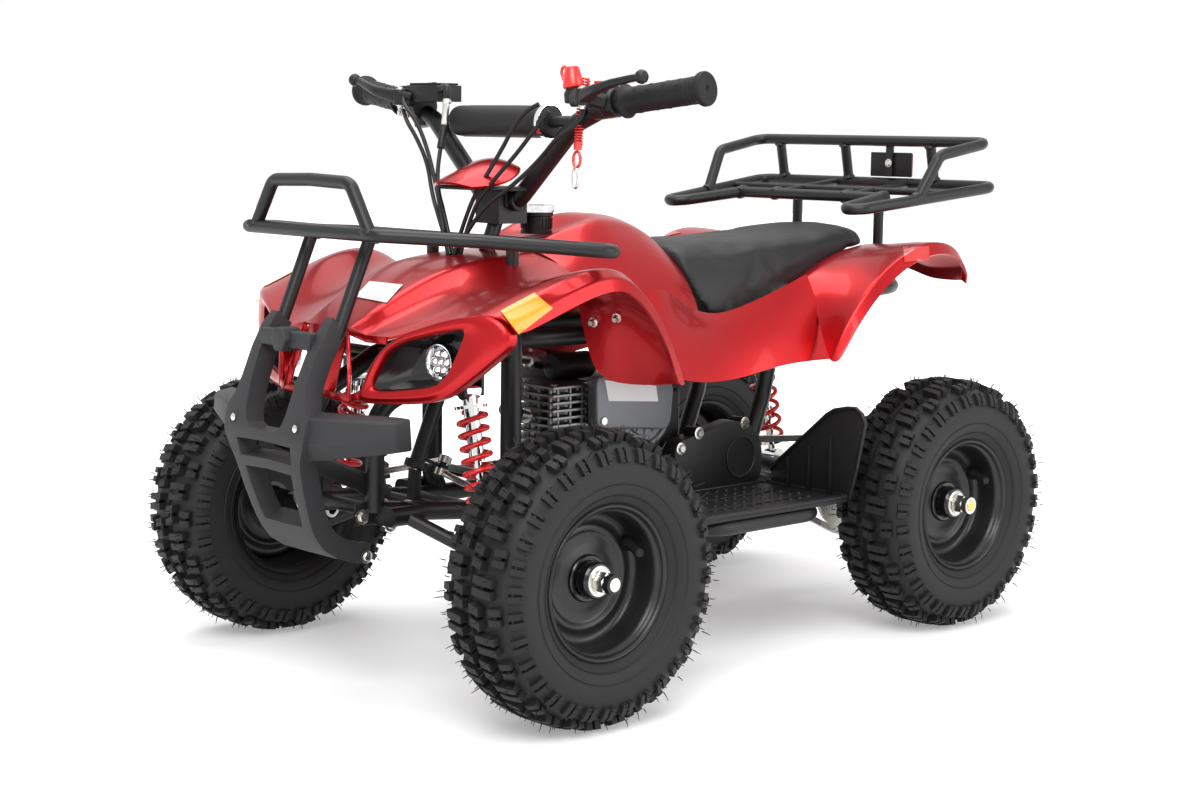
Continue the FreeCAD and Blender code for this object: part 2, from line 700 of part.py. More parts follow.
# Front suspension: lower arms with a yoke round each kingpin, and one damper a side
ARM_FRONT_SHARES = (0.178, -0.43, 0.424)
ARM_REAR_SHARES = (0.19, -0.275, 0.41)
ARM_BRACE_X_SHARE = 0.272
ARM_RADIUS = 8.0
YOKE_WIDTH = 26.0
YOKE_DEPTH = 20.0
YOKE_WALL = 5.0
ARM_ROOT_SHARE = 0.25
SHOCK_TOP_SHARES = (0.214, -0.352, 0.7)
SHOCK_FOOT_SHARES = (0.272, -0.352, 0.412)
DAMPER_RADIUS = 9.0
DAMPER_ROD_RADIUS = 5.0
DAMPER_EYE_RADIUS = 10.0
DAMPER_ROD_SHARE = 0.45
SPRING_RADIUS = 19.0
SPRING_WIRE_RADIUS = 3.0
SPRING_TURNS = 7
SPRING_START_SHARE = 0.16
SPRING_END_SHARE = 0.86
COLLAR_THICKNESS = 4.0


def a_arm():
    foot = kingpin_foot(1)
    pin_middle = foot + Z_AXIS * (KINGPIN_LENGTH / 2)
    wall = YOKE_WALL
    back = Vector(foot.x - YOKE_WIDTH / 2 - wall / 2, foot.y, pin_middle.z)
    low = Vector(foot.x - wall / 2, foot.y, foot.z + wall / 2)
    high = Vector(foot.x - wall / 2, foot.y, foot.z + KINGPIN_LENGTH - wall / 2)
    root = Vector(back.x - wall, foot.y, foot.z + KINGPIN_LENGTH * ARM_ROOT_SHARE)
    pieces = [
        box_at(back, wall, YOKE_DEPTH, KINGPIN_LENGTH),
        box_at(low, YOKE_WIDTH, YOKE_DEPTH, wall),
        box_at(high, YOKE_WIDTH, YOKE_DEPTH, wall),
        rod(foot, foot + Z_AXIS * KINGPIN_LENGTH, KINGPIN_RADIUS),
    ]
    brace_x = ARM_BRACE_X_SHARE * WIDTH_OVER_FENDERS
    brace_ends = []
    bores = []
    for shares in (ARM_FRONT_SHARES, ARM_REAR_SHARES):
        eye = place(shares)
        half = Y_AXIS * (ARM_EYE_LENGTH / 2)
        pieces.append(rod(root, eye, ARM_RADIUS))
        pieces.append(rod(eye - half, eye + half, ARM_EYE_RADIUS))
        bores.append(rod(eye - half * 2, eye + half * 2, ARM_BOLT_RADIUS + RUNNING_GAP))
        brace_ends.append(root + (eye - root) * ((root.x - brace_x) / (root.x - eye.x)))
    pieces.append(rod(brace_ends[0], brace_ends[1], ARM_RADIUS))
    return fused(pieces).cut(bores)


def spring(start, end):
    """A coil between two points, drawn as a helix along Z and then turned into place."""
    axis = end - start
    length = axis.Length * (SPRING_END_SHARE - SPRING_START_SHARE)
    coil_radius = SPRING_RADIUS - SPRING_WIRE_RADIUS
    helix = Part.makeHelix(length / SPRING_TURNS, length, coil_radius)
    profile = Part.Wire([Part.makeCircle(SPRING_WIRE_RADIUS, Vector(coil_radius, 0, 0), Y_AXIS)])
    coil = Part.Wire(helix).makePipeShell([profile], True, True)
    coil.Placement = FreeCAD.Placement(start + axis * SPRING_START_SHARE, FreeCAD.Rotation(Z_AXIS, axis))
    return coil


def damper(start, end, eye_axis):
    """Eye, body with its spring collars, thin rod and foot eye."""
    axis = (end - start).normalize()
    length = (end - start).Length
    split = start + axis * (length * (1 - DAMPER_ROD_SHARE))
    coil_start = start + axis * (length * SPRING_START_SHARE)
    coil_end = start + axis * (length * SPRING_END_SHARE)
    collar_gap = axis * (SPRING_WIRE_RADIUS + SEAT_GAP)
    collar = axis * COLLAR_THICKNESS
    return fused([
        rod(start, split, DAMPER_RADIUS),
        rod(split, end, DAMPER_ROD_RADIUS),
        rod(coil_start - collar_gap - collar, coil_start - collar_gap, SPRING_RADIUS),
        rod(coil_end + collar_gap, coil_end + collar_gap + collar, SPRING_RADIUS),
        rod(start - eye_axis * DAMPER_EYE_RADIUS, start + eye_axis * DAMPER_EYE_RADIUS, DAMPER_EYE_RADIUS),
        rod(end - eye_axis * DAMPER_EYE_RADIUS, end + eye_axis * DAMPER_EYE_RADIUS, DAMPER_EYE_RADIUS),
    ])


# Rear suspension
SWING_PIVOT_SHARES = (0.07, 0.16, 0.44)
SWING_PIVOT_HALF_LENGTH = 48.5
SWING_PLATE_THICKNESS = 8.0
SWING_TUBE_RADIUS = 11.0
SWING_ARM_X_SHARE = 0.1
SWING_BRACE_SHARE = 0.645
BEARING_HOUSING_RADIUS = 24.0
BEARING_HOUSING_LENGTH = 36.0
REAR_SHOCK_TOP_SHARES = (0.0, 0.23, 0.8)
REAR_SHOCK_FOOT_SHARES = (0.0, 0.28, 0.4056)


def swingarm():
    axle = Vector(0, HALF_BASE, TYRE_RADIUS)
    pieces = []
    housing_x = SWING_ARM_X_SHARE * WIDTH_OVER_FENDERS
    pivot = place(SWING_PIVOT_SHARES)
    for side in SIDES:
        centre = axle + X_AXIS * (side * housing_x)
        half = X_AXIS * (BEARING_HOUSING_LENGTH / 2)
        pieces.append(rod(centre - half, centre + half, BEARING_HOUSING_RADIUS))
        pieces.append(rod(centre, Vector(side * pivot.x, pivot.y, pivot.z), SWING_TUBE_RADIUS))
    pivot_middle = Vector(0, pivot.y, pivot.z)
    pivot_half = X_AXIS * SWING_PIVOT_HALF_LENGTH
    pieces.append(rod(pivot_middle - pivot_half, pivot_middle + pivot_half, SWING_TUBE_RADIUS + SHEET))
    brace = Vector(pivot.x, pivot.y, pivot.z)
    brace += (axle + X_AXIS * housing_x - brace) * SWING_BRACE_SHARE
    pieces.append(rod(Vector(-brace.x, brace.y, brace.z), brace, BRACE_TUBE_RADIUS))
    pieces.append(rod(axle - X_AXIS * housing_x, axle + X_AXIS * housing_x, AXLE_RADIUS + SHEET + SHEET))
    bore = rod(axle - X_AXIS * REAR_HALF_TRACK, axle + X_AXIS * REAR_HALF_TRACK, AXLE_RADIUS + RUNNING_GAP)
    return fused(pieces).cut(bore)


def make_suspension():
    top = place(SHOCK_TOP_SHARES)
    foot = place(SHOCK_FOOT_SHARES)
    both_sides("a_arms", [a_arm()])
    front_damper = damper(top, foot, Y_AXIS)
    front_spring = spring(top, foot)
    rear_top = place(REAR_SHOCK_TOP_SHARES)
    rear_foot = place(REAR_SHOCK_FOOT_SHARES)
    save("dampers", [front_damper, mirrored(front_damper), damper(rear_top, rear_foot, X_AXIS)])
    save("springs", [front_spring, mirrored(front_spring), spring(rear_top, rear_foot)])
    save("swingarm", [swingarm()])


# Racks
FRONT_RING_SHARES = [
    (0.0, -0.496, 1.042), (0.25, -0.496, 1.042), (0.392, -0.41, 1.038), (0.56, -0.286, 1.03),
    (0.48, -0.262, 1.03), (0.0, -0.262, 1.03),
]
FRONT_HOOP_SHARES = [(0.222, -0.496, 1.042), (0.148, -0.494, 1.172), (0.0, -0.494, 1.176)]
FRONT_BAR_SHARES = [
    [(0.1, -0.496, 1.042), (0.1, -0.262, 1.03)],
    [(0.19, -0.496, 1.042), (0.28, -0.262, 1.03)],
]
FRONT_POST_SHARES = [(0.11, -0.496, 1.042), (0.118, -0.486, 0.6), (0.12, -0.4618, 0.6)]
FRONT_REAR_POST_SHARES = [(0.15, -0.262, 1.03), (0.15, -0.262, 0.9106)]
REAR_RING_SHARES = [
    (0.0, 0.476, 1.156), (0.43, 0.476, 1.156), (0.356, 0.242, 1.1), (0.0, 0.242, 1.1),
]
REAR_RAIL_SHARES = [
    (0.386, 0.337, 1.1227), (0.405, 0.37, 1.24), (0.42, 0.464, 1.274), (0.0, 0.464, 1.274),
]
REAR_POST_XS_SHARES = (-0.34, -0.09, 0.22)
REAR_LENGTH_BAR_SHARES = [(0.13, 0.242, 1.1), (0.13, 0.476, 1.156)]
REAR_CROSS_BAR_SHARES = [(-0.4, 0.4, 1.1378), (0.4, 0.4, 1.1378)]
REAR_LEG_SHARES = [(0.15, 0.4, 1.1378), (0.15, 0.4, 0.8928)]
STRAP_X_SHARE = 0.072
STRAP_WIDTH = 12.0
STRAP_THICKNESS = 4.0
STRAP_DROP = 50.0
RACK_BEND = 22.0


def rack_half_tubes(tables, radius):
    shapes = []
    for table in tables:
        half = placed_tube(table, radius, RACK_BEND)
        shapes.append(half)
        shapes.append(mirrored(half))
    return shapes


def front_rack():
    pieces = rack_half_tubes([FRONT_RING_SHARES], RACK_TUBE_RADIUS)
    posts = [FRONT_HOOP_SHARES, FRONT_POST_SHARES, FRONT_REAR_POST_SHARES]
    pieces += rack_half_tubes(posts, RACK_POST_RADIUS)
    pieces += rack_half_tubes(FRONT_BAR_SHARES, RACK_BAR_RADIUS)
    return welded(pieces)


def rear_rack():
    pieces = rack_half_tubes([REAR_RING_SHARES, REAR_RAIL_SHARES], RACK_TUBE_RADIUS)
    pieces.append(placed_tube(REAR_CROSS_BAR_SHARES, RACK_BAR_RADIUS))
    pieces += rack_half_tubes([REAR_LENGTH_BAR_SHARES], RACK_BAR_RADIUS)
    pieces += rack_half_tubes([REAR_LEG_SHARES], RACK_POST_RADIUS)
    low = REAR_RING_SHARES[0]
    high = REAR_RAIL_SHARES[-1]
    for x_share in REAR_POST_XS_SHARES:
        pieces.append(placed_tube([(x_share, low[1], low[2]), (x_share, high[1], high[2])], RACK_BAR_RADIUS))
    pieces.append(box_at(strap_centre(), STRAP_WIDTH, STRAP_THICKNESS, STRAP_DROP))
    return welded(pieces)


def strap_centre():
    """The strap hangs from the back rail and holds the reflector."""
    rail = place(REAR_RAIL_SHARES[-1])
    return Vector(STRAP_X_SHARE * WIDTH_OVER_FENDERS, rail.y + STRAP_THICKNESS / 2, rail.z - STRAP_DROP / 2)


REFLECTOR_WIDTH = 74.0
REFLECTOR_HEIGHT = 34.0
REFLECTOR_THICKNESS = 6.0


def tail_reflector():
    behind = STRAP_THICKNESS / 2 + SEAT_GAP + REFLECTOR_THICKNESS / 2
    centre = strap_centre() + Y_AXIS * behind - Z_AXIS * (STRAP_DROP / 2 - REFLECTOR_HEIGHT / 2)
    plate = box_at(centre, REFLECTOR_WIDTH, REFLECTOR_THICKNESS, REFLECTOR_HEIGHT)
    return plate.makeFillet(SHEET / 2, plate.Edges)


# Body panels: each row runs from the centre line outwards, the rows from front to back
HOOD_ROW_SHARES = [
    [(0.0, -0.474, 0.846), (0.088, -0.473, 0.844), (0.12, -0.47, 0.83), (0.2, -0.464, 0.826),
     (0.3, -0.452, 0.846), (0.39, -0.434, 0.868), (0.44, -0.416, 0.87), (0.462, -0.404, 0.868),
     (0.468, -0.402, 0.85)],
    [(0.0, -0.44, 0.886), (0.092, -0.438, 0.884), (0.13, -0.434, 0.866), (0.208, -0.426, 0.85),
     (0.32, -0.41, 0.88), (0.406, -0.392, 0.918), (0.458, -0.38, 0.926), (0.486, -0.37, 0.93),
     (0.494, -0.368, 0.908)],
    [(0.0, -0.395, 0.936), (0.1, -0.393, 0.932), (0.142, -0.39, 0.914), (0.22, -0.385, 0.892),
     (0.334, -0.368, 0.92), (0.42, -0.352, 0.958), (0.472, -0.342, 0.976), (0.5, -0.335, 0.984),
     (0.51, -0.333, 0.962)],
    [(0.0, -0.34, 0.976), (0.108, -0.34, 0.972), (0.15, -0.338, 0.954), (0.236, -0.335, 0.93),
     (0.344, -0.318, 0.95), (0.428, -0.308, 0.982), (0.48, -0.302, 1.0), (0.506, -0.299, 1.008),
     (0.518, -0.299, 0.984)],
    [(0.0, -0.295, 0.99), (0.112, -0.295, 0.986), (0.152, -0.295, 0.97), (0.246, -0.29, 0.95),
     (0.344, -0.276, 0.95), (0.428, -0.264, 0.974), (0.478, -0.26, 0.994), (0.506, -0.258, 1.002),
     (0.518, -0.258, 0.978)],
    [(0.0, -0.25, 0.998), (0.112, -0.25, 0.994), (0.152, -0.25, 0.98), (0.25, -0.245, 0.964),
     (0.34, -0.236, 0.93), (0.422, -0.216, 0.924), (0.472, -0.213, 0.944), (0.5, -0.211, 0.95),
     (0.512, -0.211, 0.926)],
    [(0.0, -0.212, 1.002), (0.112, -0.212, 0.998), (0.152, -0.21, 0.988), (0.25, -0.205, 0.968),
     (0.33, -0.2, 0.91), (0.41, -0.168, 0.84), (0.462, -0.168, 0.858), (0.49, -0.166, 0.862),
     (0.5, -0.166, 0.84)],
    [(0.0, -0.17, 1.0), (0.112, -0.17, 0.996), (0.152, -0.168, 0.986), (0.25, -0.165, 0.95),
     (0.33, -0.166, 0.86), (0.41, -0.152, 0.775), (0.462, -0.15, 0.782), (0.49, -0.148, 0.785),
     (0.5, -0.148, 0.764)],
    [(0.0, -0.13, 1.0), (0.112, -0.13, 0.994), (0.152, -0.128, 0.98), (0.25, -0.13, 0.92),
     (0.33, -0.14, 0.79), (0.41, -0.138, 0.706), (0.462, -0.136, 0.704), (0.49, -0.132, 0.706),
     (0.5, -0.132, 0.688)],
]
HOOD_NOTCH_HALF_SHARE = 0.29
HOOD_NOTCH_START_SHARE = -0.2115
HOOD_NOTCH_END_SHARE = -0.1
FASCIA_ROW_SHARES = [
    [(0.0, -0.474, 0.838), (0.11, -0.472, 0.826), (0.2, -0.465, 0.818), (0.3, -0.453, 0.838),
     (0.39, -0.435, 0.858)],
    [(0.0, -0.478, 0.79), (0.11, -0.476, 0.785), (0.2, -0.469, 0.79), (0.3, -0.457, 0.805),
     (0.37, -0.442, 0.82)],
    [(0.0, -0.477, 0.73), (0.11, -0.475, 0.73), (0.2, -0.466, 0.735), (0.29, -0.454, 0.745),
     (0.345, -0.444, 0.76)],
    [(0.0, -0.472, 0.68), (0.11, -0.47, 0.68), (0.19, -0.462, 0.685), (0.27, -0.452, 0.69),
     (0.32, -0.444, 0.7)],
]
LAMP_OPENING_SHARES = [(0.17, 0.806), (0.36, 0.844), (0.335, 0.745), (0.285, 0.712), (0.165, 0.715)]
LAMP_DEPTH = 30.0
LAMP_RADIUS = 19.0
LAMP_CENTRE_SHARES = (0.285, -0.428, 0.775)
TANK_ROW_SHARES = [
    [(0.0, -0.205, 1.018), (0.09, -0.205, 1.01), (0.16, -0.203, 0.99), (0.22, -0.2, 0.956),
     (0.27, -0.19, 0.88)],
    [(0.0, -0.178, 1.05), (0.096, -0.178, 1.038), (0.164, -0.176, 1.006), (0.224, -0.174, 0.95),
     (0.264, -0.166, 0.87)],
    [(0.0, -0.14, 1.076), (0.1, -0.14, 1.062), (0.168, -0.138, 1.016), (0.22, -0.135, 0.946),
     (0.252, -0.128, 0.86)],
    [(0.0, -0.095, 1.09), (0.1, -0.095, 1.074), (0.168, -0.094, 1.016), (0.216, -0.09, 0.936),
     (0.238, -0.086, 0.85)],
    [(0.0, -0.054, 1.086), (0.1, -0.052, 1.062), (0.168, -0.048, 1.0), (0.212, -0.044, 0.91),
     (0.232, -0.042, 0.84)],
    [(0.0, -0.018, 1.056), (0.1, -0.014, 1.03), (0.17, -0.008, 0.97), (0.21, -0.004, 0.886),
     (0.226, -0.002, 0.832)],
    [(0.0, 0.012, 1.008), (0.1, 0.013, 0.992), (0.17, 0.014, 0.94), (0.208, 0.016, 0.87),
     (0.222, 0.018, 0.826)],
]
SIDE_COLUMN_SHARES = [
    [(0.285, -0.17, 0.84), (0.268, -0.13, 0.83), (0.25, -0.08, 0.822), (0.244, -0.03, 0.816),
     (0.24, 0.035, 0.82), (0.242, 0.09, 0.846), (0.246, 0.14, 0.874), (0.252, 0.194, 0.9)],
    [(0.335, -0.165, 0.79), (0.315, -0.13, 0.78), (0.298, -0.08, 0.77), (0.288, -0.03, 0.764),
     (0.288, 0.035, 0.766), (0.296, 0.09, 0.784), (0.304, 0.14, 0.8), (0.31, 0.194, 0.812)],
    [(0.37, -0.15, 0.73), (0.352, -0.12, 0.716), (0.342, -0.08, 0.702), (0.336, -0.03, 0.69),
     (0.336, 0.035, 0.69), (0.34, 0.09, 0.7), (0.344, 0.14, 0.71), (0.348, 0.194, 0.72)],
]
FENDER_ROW_SHARES = [
    [(0.0, 0.198, 0.88), (0.12, 0.198, 0.882), (0.236, 0.198, 0.904), (0.306, 0.19, 0.83),
     (0.36, 0.176, 0.75), (0.4, 0.166, 0.716), (0.408, 0.165, 0.71)],
    [(0.0, 0.218, 0.904), (0.12, 0.218, 0.906), (0.226, 0.217, 0.928), (0.306, 0.207, 0.892),
     (0.37, 0.192, 0.836), (0.416, 0.184, 0.804), (0.426, 0.183, 0.792)],
    [(0.0, 0.245, 0.93), (0.12, 0.245, 0.932), (0.216, 0.245, 0.95), (0.304, 0.24, 0.946),
     (0.384, 0.222, 0.91), (0.436, 0.213, 0.888), (0.448, 0.212, 0.874)],
    [(0.0, 0.285, 0.952), (0.12, 0.285, 0.954), (0.208, 0.285, 0.98), (0.3, 0.285, 0.986),
     (0.396, 0.27, 0.976), (0.452, 0.258, 0.964), (0.464, 0.257, 0.948)],
    [(0.0, 0.328, 0.966), (0.12, 0.328, 0.968), (0.2, 0.328, 0.996), (0.3, 0.33, 1.0), (0.4, 0.318, 1.006),
     (0.46, 0.306, 1.006), (0.472, 0.306, 0.988)],
    [(0.0, 0.37, 0.976), (0.12, 0.37, 0.978), (0.194, 0.37, 1.0), (0.3, 0.372, 0.992), (0.4, 0.362, 1.004),
     (0.46, 0.352, 1.012), (0.472, 0.352, 0.994)],
    [(0.0, 0.412, 0.97), (0.12, 0.412, 0.972), (0.19, 0.41, 0.988), (0.296, 0.408, 0.97),
     (0.392, 0.4, 0.976), (0.448, 0.39, 0.988), (0.46, 0.391, 0.97)],
    [(0.0, 0.448, 0.944), (0.12, 0.448, 0.946), (0.186, 0.442, 0.956), (0.29, 0.434, 0.93),
     (0.38, 0.425, 0.93), (0.428, 0.415, 0.942), (0.438, 0.418, 0.926)],
]


def lamp_prism(depth):
    points = [place((x_share, LAMP_CENTRE_SHARES[1], z_share)) for x_share, z_share in LAMP_OPENING_SHARES]
    face = Part.Face(Part.makePolygon(points + points[:1]))
    return face.extrude(Y_AXIS * depth).translated(-Y_AXIS * depth)


def front_fascia():
    opening = lamp_prism(LAMP_DEPTH * 2 + LAMP_DEPTH)
    opening = opening.translated(Y_AXIS * LAMP_DEPTH)
    return skin(mirrored_grid(FASCIA_ROW_SHARES), PANEL).cut([opening, mirrored(opening)])


def make_headlights():
    """A pod behind each opening, with a round lamp in it."""
    centre = place(LAMP_CENTRE_SHARES)
    pod = lamp_prism(LAMP_DEPTH).translated(Y_AXIS * (LAMP_DEPTH + SHEET))
    hollow = rod(centre - Y_AXIS * LAMP_DEPTH, centre + Y_AXIS * (LAMP_DEPTH / 2), LAMP_RADIUS + SEAT_GAP)
    both_sides("headlights", [pod.cut(hollow)])
    lamp = rod(centre - Y_AXIS * SHEET, centre + Y_AXIS * (LAMP_DEPTH / 2 - SEAT_GAP), LAMP_RADIUS)
    both_sides("lamps", [lamp])


FUEL_CAP_SHARES = (0.0, -0.16, 1.088)
FUEL_NECK_RADIUS = 19.0
FUEL_NECK_DROP = 18.0
STEM_HOLE_GAP = 8.0
FUEL_CAP_RADIUS = 22.0
FUEL_CAP_HEIGHT = 14.0


def post_holes(foot_shares):
    """Holes that a rack's two posts pass through, one seating gap larger than the posts."""
    holes = []
    for side in SIDES:
        foot = place(foot_shares)
        foot.x = foot.x * side
        holes.append(rod(foot, foot + Z_AXIS * SEAT_HEIGHT, RACK_POST_RADIUS + SEAT_GAP))
    return holes


def hood_notch():
    """The hood stops in front of the tank; only the fenders go on down behind the wheels."""
    corner = place((-HOOD_NOTCH_HALF_SHARE, HOOD_NOTCH_START_SHARE, HOOD_ROW_SHARES[-1][-1][2] / 2))
    length = (HOOD_NOTCH_END_SHARE - HOOD_NOTCH_START_SHARE) * LENGTH_OVER_RACKS
    return Part.makeBox(HOOD_NOTCH_HALF_SHARE * 2 * WIDTH_OVER_FENDERS, length, SEAT_HEIGHT, corner)


def make_body():
    stem_hole = rod(stem_point(0), stem_point(stem_length()), STEM_RADIUS + STEM_HOLE_GAP)
    hood_holes = [stem_hole, hood_notch()] + post_holes(FRONT_REAR_POST_SHARES[-1])
    save("front_body", [skin(mirrored_grid(HOOD_ROW_SHARES), PANEL).cut(hood_holes)])
    save("front_fascia", [front_fascia()])
    make_headlights()
    cap = place(FUEL_CAP_SHARES)
    neck = rod(cap - Z_AXIS * FUEL_NECK_DROP, cap, FUEL_NECK_RADIUS)
    neck_hole = rod(cap - Z_AXIS * FUEL_NECK_DROP * 2, cap, FUEL_NECK_RADIUS + SEAT_GAP)
    save("tank_cover", [skin(mirrored_grid(TANK_ROW_SHARES), PANEL).cut([stem_hole, neck_hole])])
    both_sides("side_panels", [skin(grid_of(SIDE_COLUMN_SHARES), PANEL)])
    save("rear_fender", [skin(mirrored_grid(FENDER_ROW_SHARES), PANEL).cut(post_holes(REAR_LEG_SHARES[-1]))])
    save("fuel_cap", [fused([rod(cap, cap + Z_AXIS * FUEL_CAP_HEIGHT, FUEL_CAP_RADIUS), neck])])


# Seat: cross sections from front to back as y, half width, base height and top height
SEAT_SECTION_SHARES = [
    (0.022, 0.16, 0.955, 1.014), (0.06, 0.19, 0.868, 1.018), (0.12, 0.2, 0.895, 1.014),
    (0.18, 0.196, 0.929, 1.014),
    (0.24, 0.188, 0.961, 1.02), (0.3, 0.18, 0.989, 1.034), (0.35, 0.168, 1.008, 1.048),
    (0.385, 0.14, 1.01, 1.04),
]
SEAT_CORNER = 14.0


def seat_section(shares):
    y = shares[0] * LENGTH_OVER_RACKS
    half = shares[1] * WIDTH_OVER_FENDERS
    base = shares[2] * SEAT_HEIGHT
    top = shares[3] * SEAT_HEIGHT
    corner = min(SEAT_CORNER, (top - base) / 2)
    shoulder = half - corner
    points = [
        Vector(-half, y, base), Vector(half, y, base), Vector(half, y, top - corner),
        Vector(shoulder, y, top), Vector(-shoulder, y, top), Vector(-half, y, top - corner),
    ]
    return Part.makePolygon(points + points[:1])


def seat():
    sections = [seat_section(shares) for shares in SEAT_SECTION_SHARES]
    return Part.makeLoft(sections, True, True)


# Engine and drive: places are the middle of each piece
ENGINE_LENGTH = 150.0
ENGINE_WIDTH = 120.0
ENGINE_HEIGHT = 110.0
CYLINDER_SHARES = (0.07, -0.155, 0.552)
CYLINDER_CORE = 52.0
CYLINDER_FIN_SIZE = 86.0
CYLINDER_FIN_COUNT = 11
CYLINDER_FIN_PITCH = 12.0
CYLINDER_FIN_THICKNESS = 4.0
RECOIL_PLACE_SHARES = (-0.054, 0.6)
RECOIL_RADIUS = 56.0
RECOIL_DEPTH = 38.0
AIRBOX_PLACE_SHARES = (-0.05, 0.66)
AIRBOX_LENGTH = 110.0
AIRBOX_DEPTH = 50.0
AIRBOX_HEIGHT = 52.0
CHAIN_CASE_SHARES = [
    (0.0, 0.494), (0.11, 0.55), (0.158, 0.5), (0.16, 0.41), (0.13, 0.386), (0.035, 0.386), (0.0, 0.43),
]
CHAIN_CASE_DEPTH = 26.0
CHAIN_FRONT_SHARES = (0.112, 0.452)
SMALL_SPROCKET_RADIUS = 18.0
CHAIN_WIDTH = 8.0
CHAIN_HEIGHT = 8.0
SILENCER_START_SHARES = (-0.2, 0.01, 0.53)
SILENCER_END_SHARES = (-0.2, 0.13, 0.58)
SILENCER_RADIUS = 26.0
PIPE_SHARES = [(-0.12, -0.155, 0.5), (-0.2, -0.11, 0.49), (-0.2, -0.04, 0.5), (-0.2, 0.01, 0.53)]
PIPE_RADIUS = 10.0
CASE_ROUNDING = 8.0


def rounded_box(centre, length, width, height, rounding):
    block = box_at(centre, length, width, height)
    return block.makeFillet(rounding, block.Edges)


def cylinder_centre():
    return place(CYLINDER_SHARES)


def engine_centre():
    """The block stands on the rails, behind the cylinder."""
    rail_top = RAIL_SHARES[2][2] * SEAT_HEIGHT + FRAME_TUBE_RADIUS
    front = cylinder_centre().y + CYLINDER_FIN_SIZE / 2 + SEAT_GAP
    return Vector(0, front + ENGINE_LENGTH / 2, rail_top + SEAT_GAP + ENGINE_HEIGHT / 2)


def engine_cylinder():
    centre = cylinder_centre()
    stack = CYLINDER_FIN_PITCH * (CYLINDER_FIN_COUNT - 1)
    core = box_at(centre, CYLINDER_CORE, CYLINDER_CORE, stack)
    fins = []
    for step in range(CYLINDER_FIN_COUNT):
        rise = CYLINDER_FIN_PITCH * step - stack / 2
        middle = centre + Z_AXIS * rise
        fins.append(box_at(middle, CYLINDER_FIN_SIZE, CYLINDER_FIN_SIZE, CYLINDER_FIN_THICKNESS))
    return fused([core] + fins)


def chain_case_face():
    x = RAIL_SHARES[0][0] * WIDTH_OVER_FENDERS + FRAME_TUBE_RADIUS + SEAT_GAP
    points = []
    for y_share, z_share in CHAIN_CASE_SHARES:
        points.append(Vector(x, y_share * LENGTH_OVER_RACKS, z_share * SEAT_HEIGHT))
    return Part.Face(Part.makePolygon(points + points[:1]))


def chain_case():
    return chain_case_face().extrude(X_AXIS * CHAIN_CASE_DEPTH)


def chain_loop(grow):
    """The chain's belt-like outline round both sprockets, as one solid."""
    x = SPROCKET_X_SHARE * REAR_HALF_TRACK + SPROCKET_THICKNESS / 2 - CHAIN_WIDTH / 2
    front = Vector(x, CHAIN_FRONT_SHARES[0] * LENGTH_OVER_RACKS, CHAIN_FRONT_SHARES[1] * SEAT_HEIGHT)
    rear = Vector(x, HALF_BASE, TYRE_RADIUS)
    run = rear - front
    front_radius = SMALL_SPROCKET_RADIUS + SEAT_GAP + grow
    rear_radius = SPROCKET_RADIUS + SEAT_GAP + grow
    lean = math.asin((rear_radius - front_radius) / run.Length)
    slope = math.atan2(run.z, run.y)
    corners = []
    for hand in SIDES:
        angle = slope + hand * (math.pi / 2 + lean)
        out = Vector(0, math.cos(angle), math.sin(angle))
        corners.append((front + out * front_radius, rear + out * rear_radius))
    back = Vector(0, math.cos(slope), math.sin(slope))
    edges = [
        Part.makeLine(corners[0][0], corners[0][1]),
        Part.Arc(corners[0][1], rear + back * rear_radius, corners[1][1]).toShape(),
        Part.makeLine(corners[1][1], corners[1][0]),
        Part.Arc(corners[1][0], front - back * front_radius, corners[0][0]).toShape(),
    ]
    return Part.Face(Part.Wire(edges)).extrude(X_AXIS * CHAIN_WIDTH)


def chain():
    """The part of the chain that shows, from the case round the rear sprocket and back."""
    inside_case = chain_case_face().makeOffset2D(SEAT_GAP).extrude(X_AXIS * CHAIN_CASE_DEPTH)
    front_end = CHAIN_FRONT_SHARES[0] * LENGTH_OVER_RACKS + SMALL_SPROCKET_RADIUS
    ahead_centre = Vector(0, front_end - LENGTH_OVER_RACKS / 2, 0)
    ahead = box_at(ahead_centre, WIDTH_OVER_FENDERS, LENGTH_OVER_RACKS, LENGTH_OVER_RACKS)
    return chain_loop(CHAIN_HEIGHT).cut([chain_loop(0), inside_case, ahead])


def exhaust():
    silencer = rod(place(SILENCER_START_SHARES), place(SILENCER_END_SHARES), SILENCER_RADIUS)
    points = [place(shares) for shares in PIPE_SHARES]
    port = Vector(cylinder_centre().x - CYLINDER_FIN_SIZE / 2 - SEAT_GAP, points[0].y, points[0].z)
    return fused([tube([port] + points, PIPE_RADIUS), silencer])


def make_engine():
    side_x = ENGINE_WIDTH / 2 + SEAT_GAP
    block = rounded_box(engine_centre(), ENGINE_WIDTH, ENGINE_LENGTH, ENGINE_HEIGHT, CASE_ROUNDING)
    save("engine_block", [block])
    save("engine_cylinder", [engine_cylinder()])
    recoil = Vector(side_x, RECOIL_PLACE_SHARES[0] * LENGTH_OVER_RACKS, RECOIL_PLACE_SHARES[1] * SEAT_HEIGHT)
    save("recoil_cover", [rod(recoil, recoil + X_AXIS * RECOIL_DEPTH, RECOIL_RADIUS)])
    air_y, air_z = AIRBOX_PLACE_SHARES[0] * LENGTH_OVER_RACKS, AIRBOX_PLACE_SHARES[1] * SEAT_HEIGHT
    air_centre = Vector(-side_x - AIRBOX_DEPTH / 2, air_y, air_z)
    save("air_box", [rounded_box(air_centre, AIRBOX_DEPTH, AIRBOX_LENGTH, AIRBOX_HEIGHT, CASE_ROUNDING)])
    save("chain_case", [chain_case()])
    save("chain", chain().Solids)
    save("exhaust", [exhaust()])


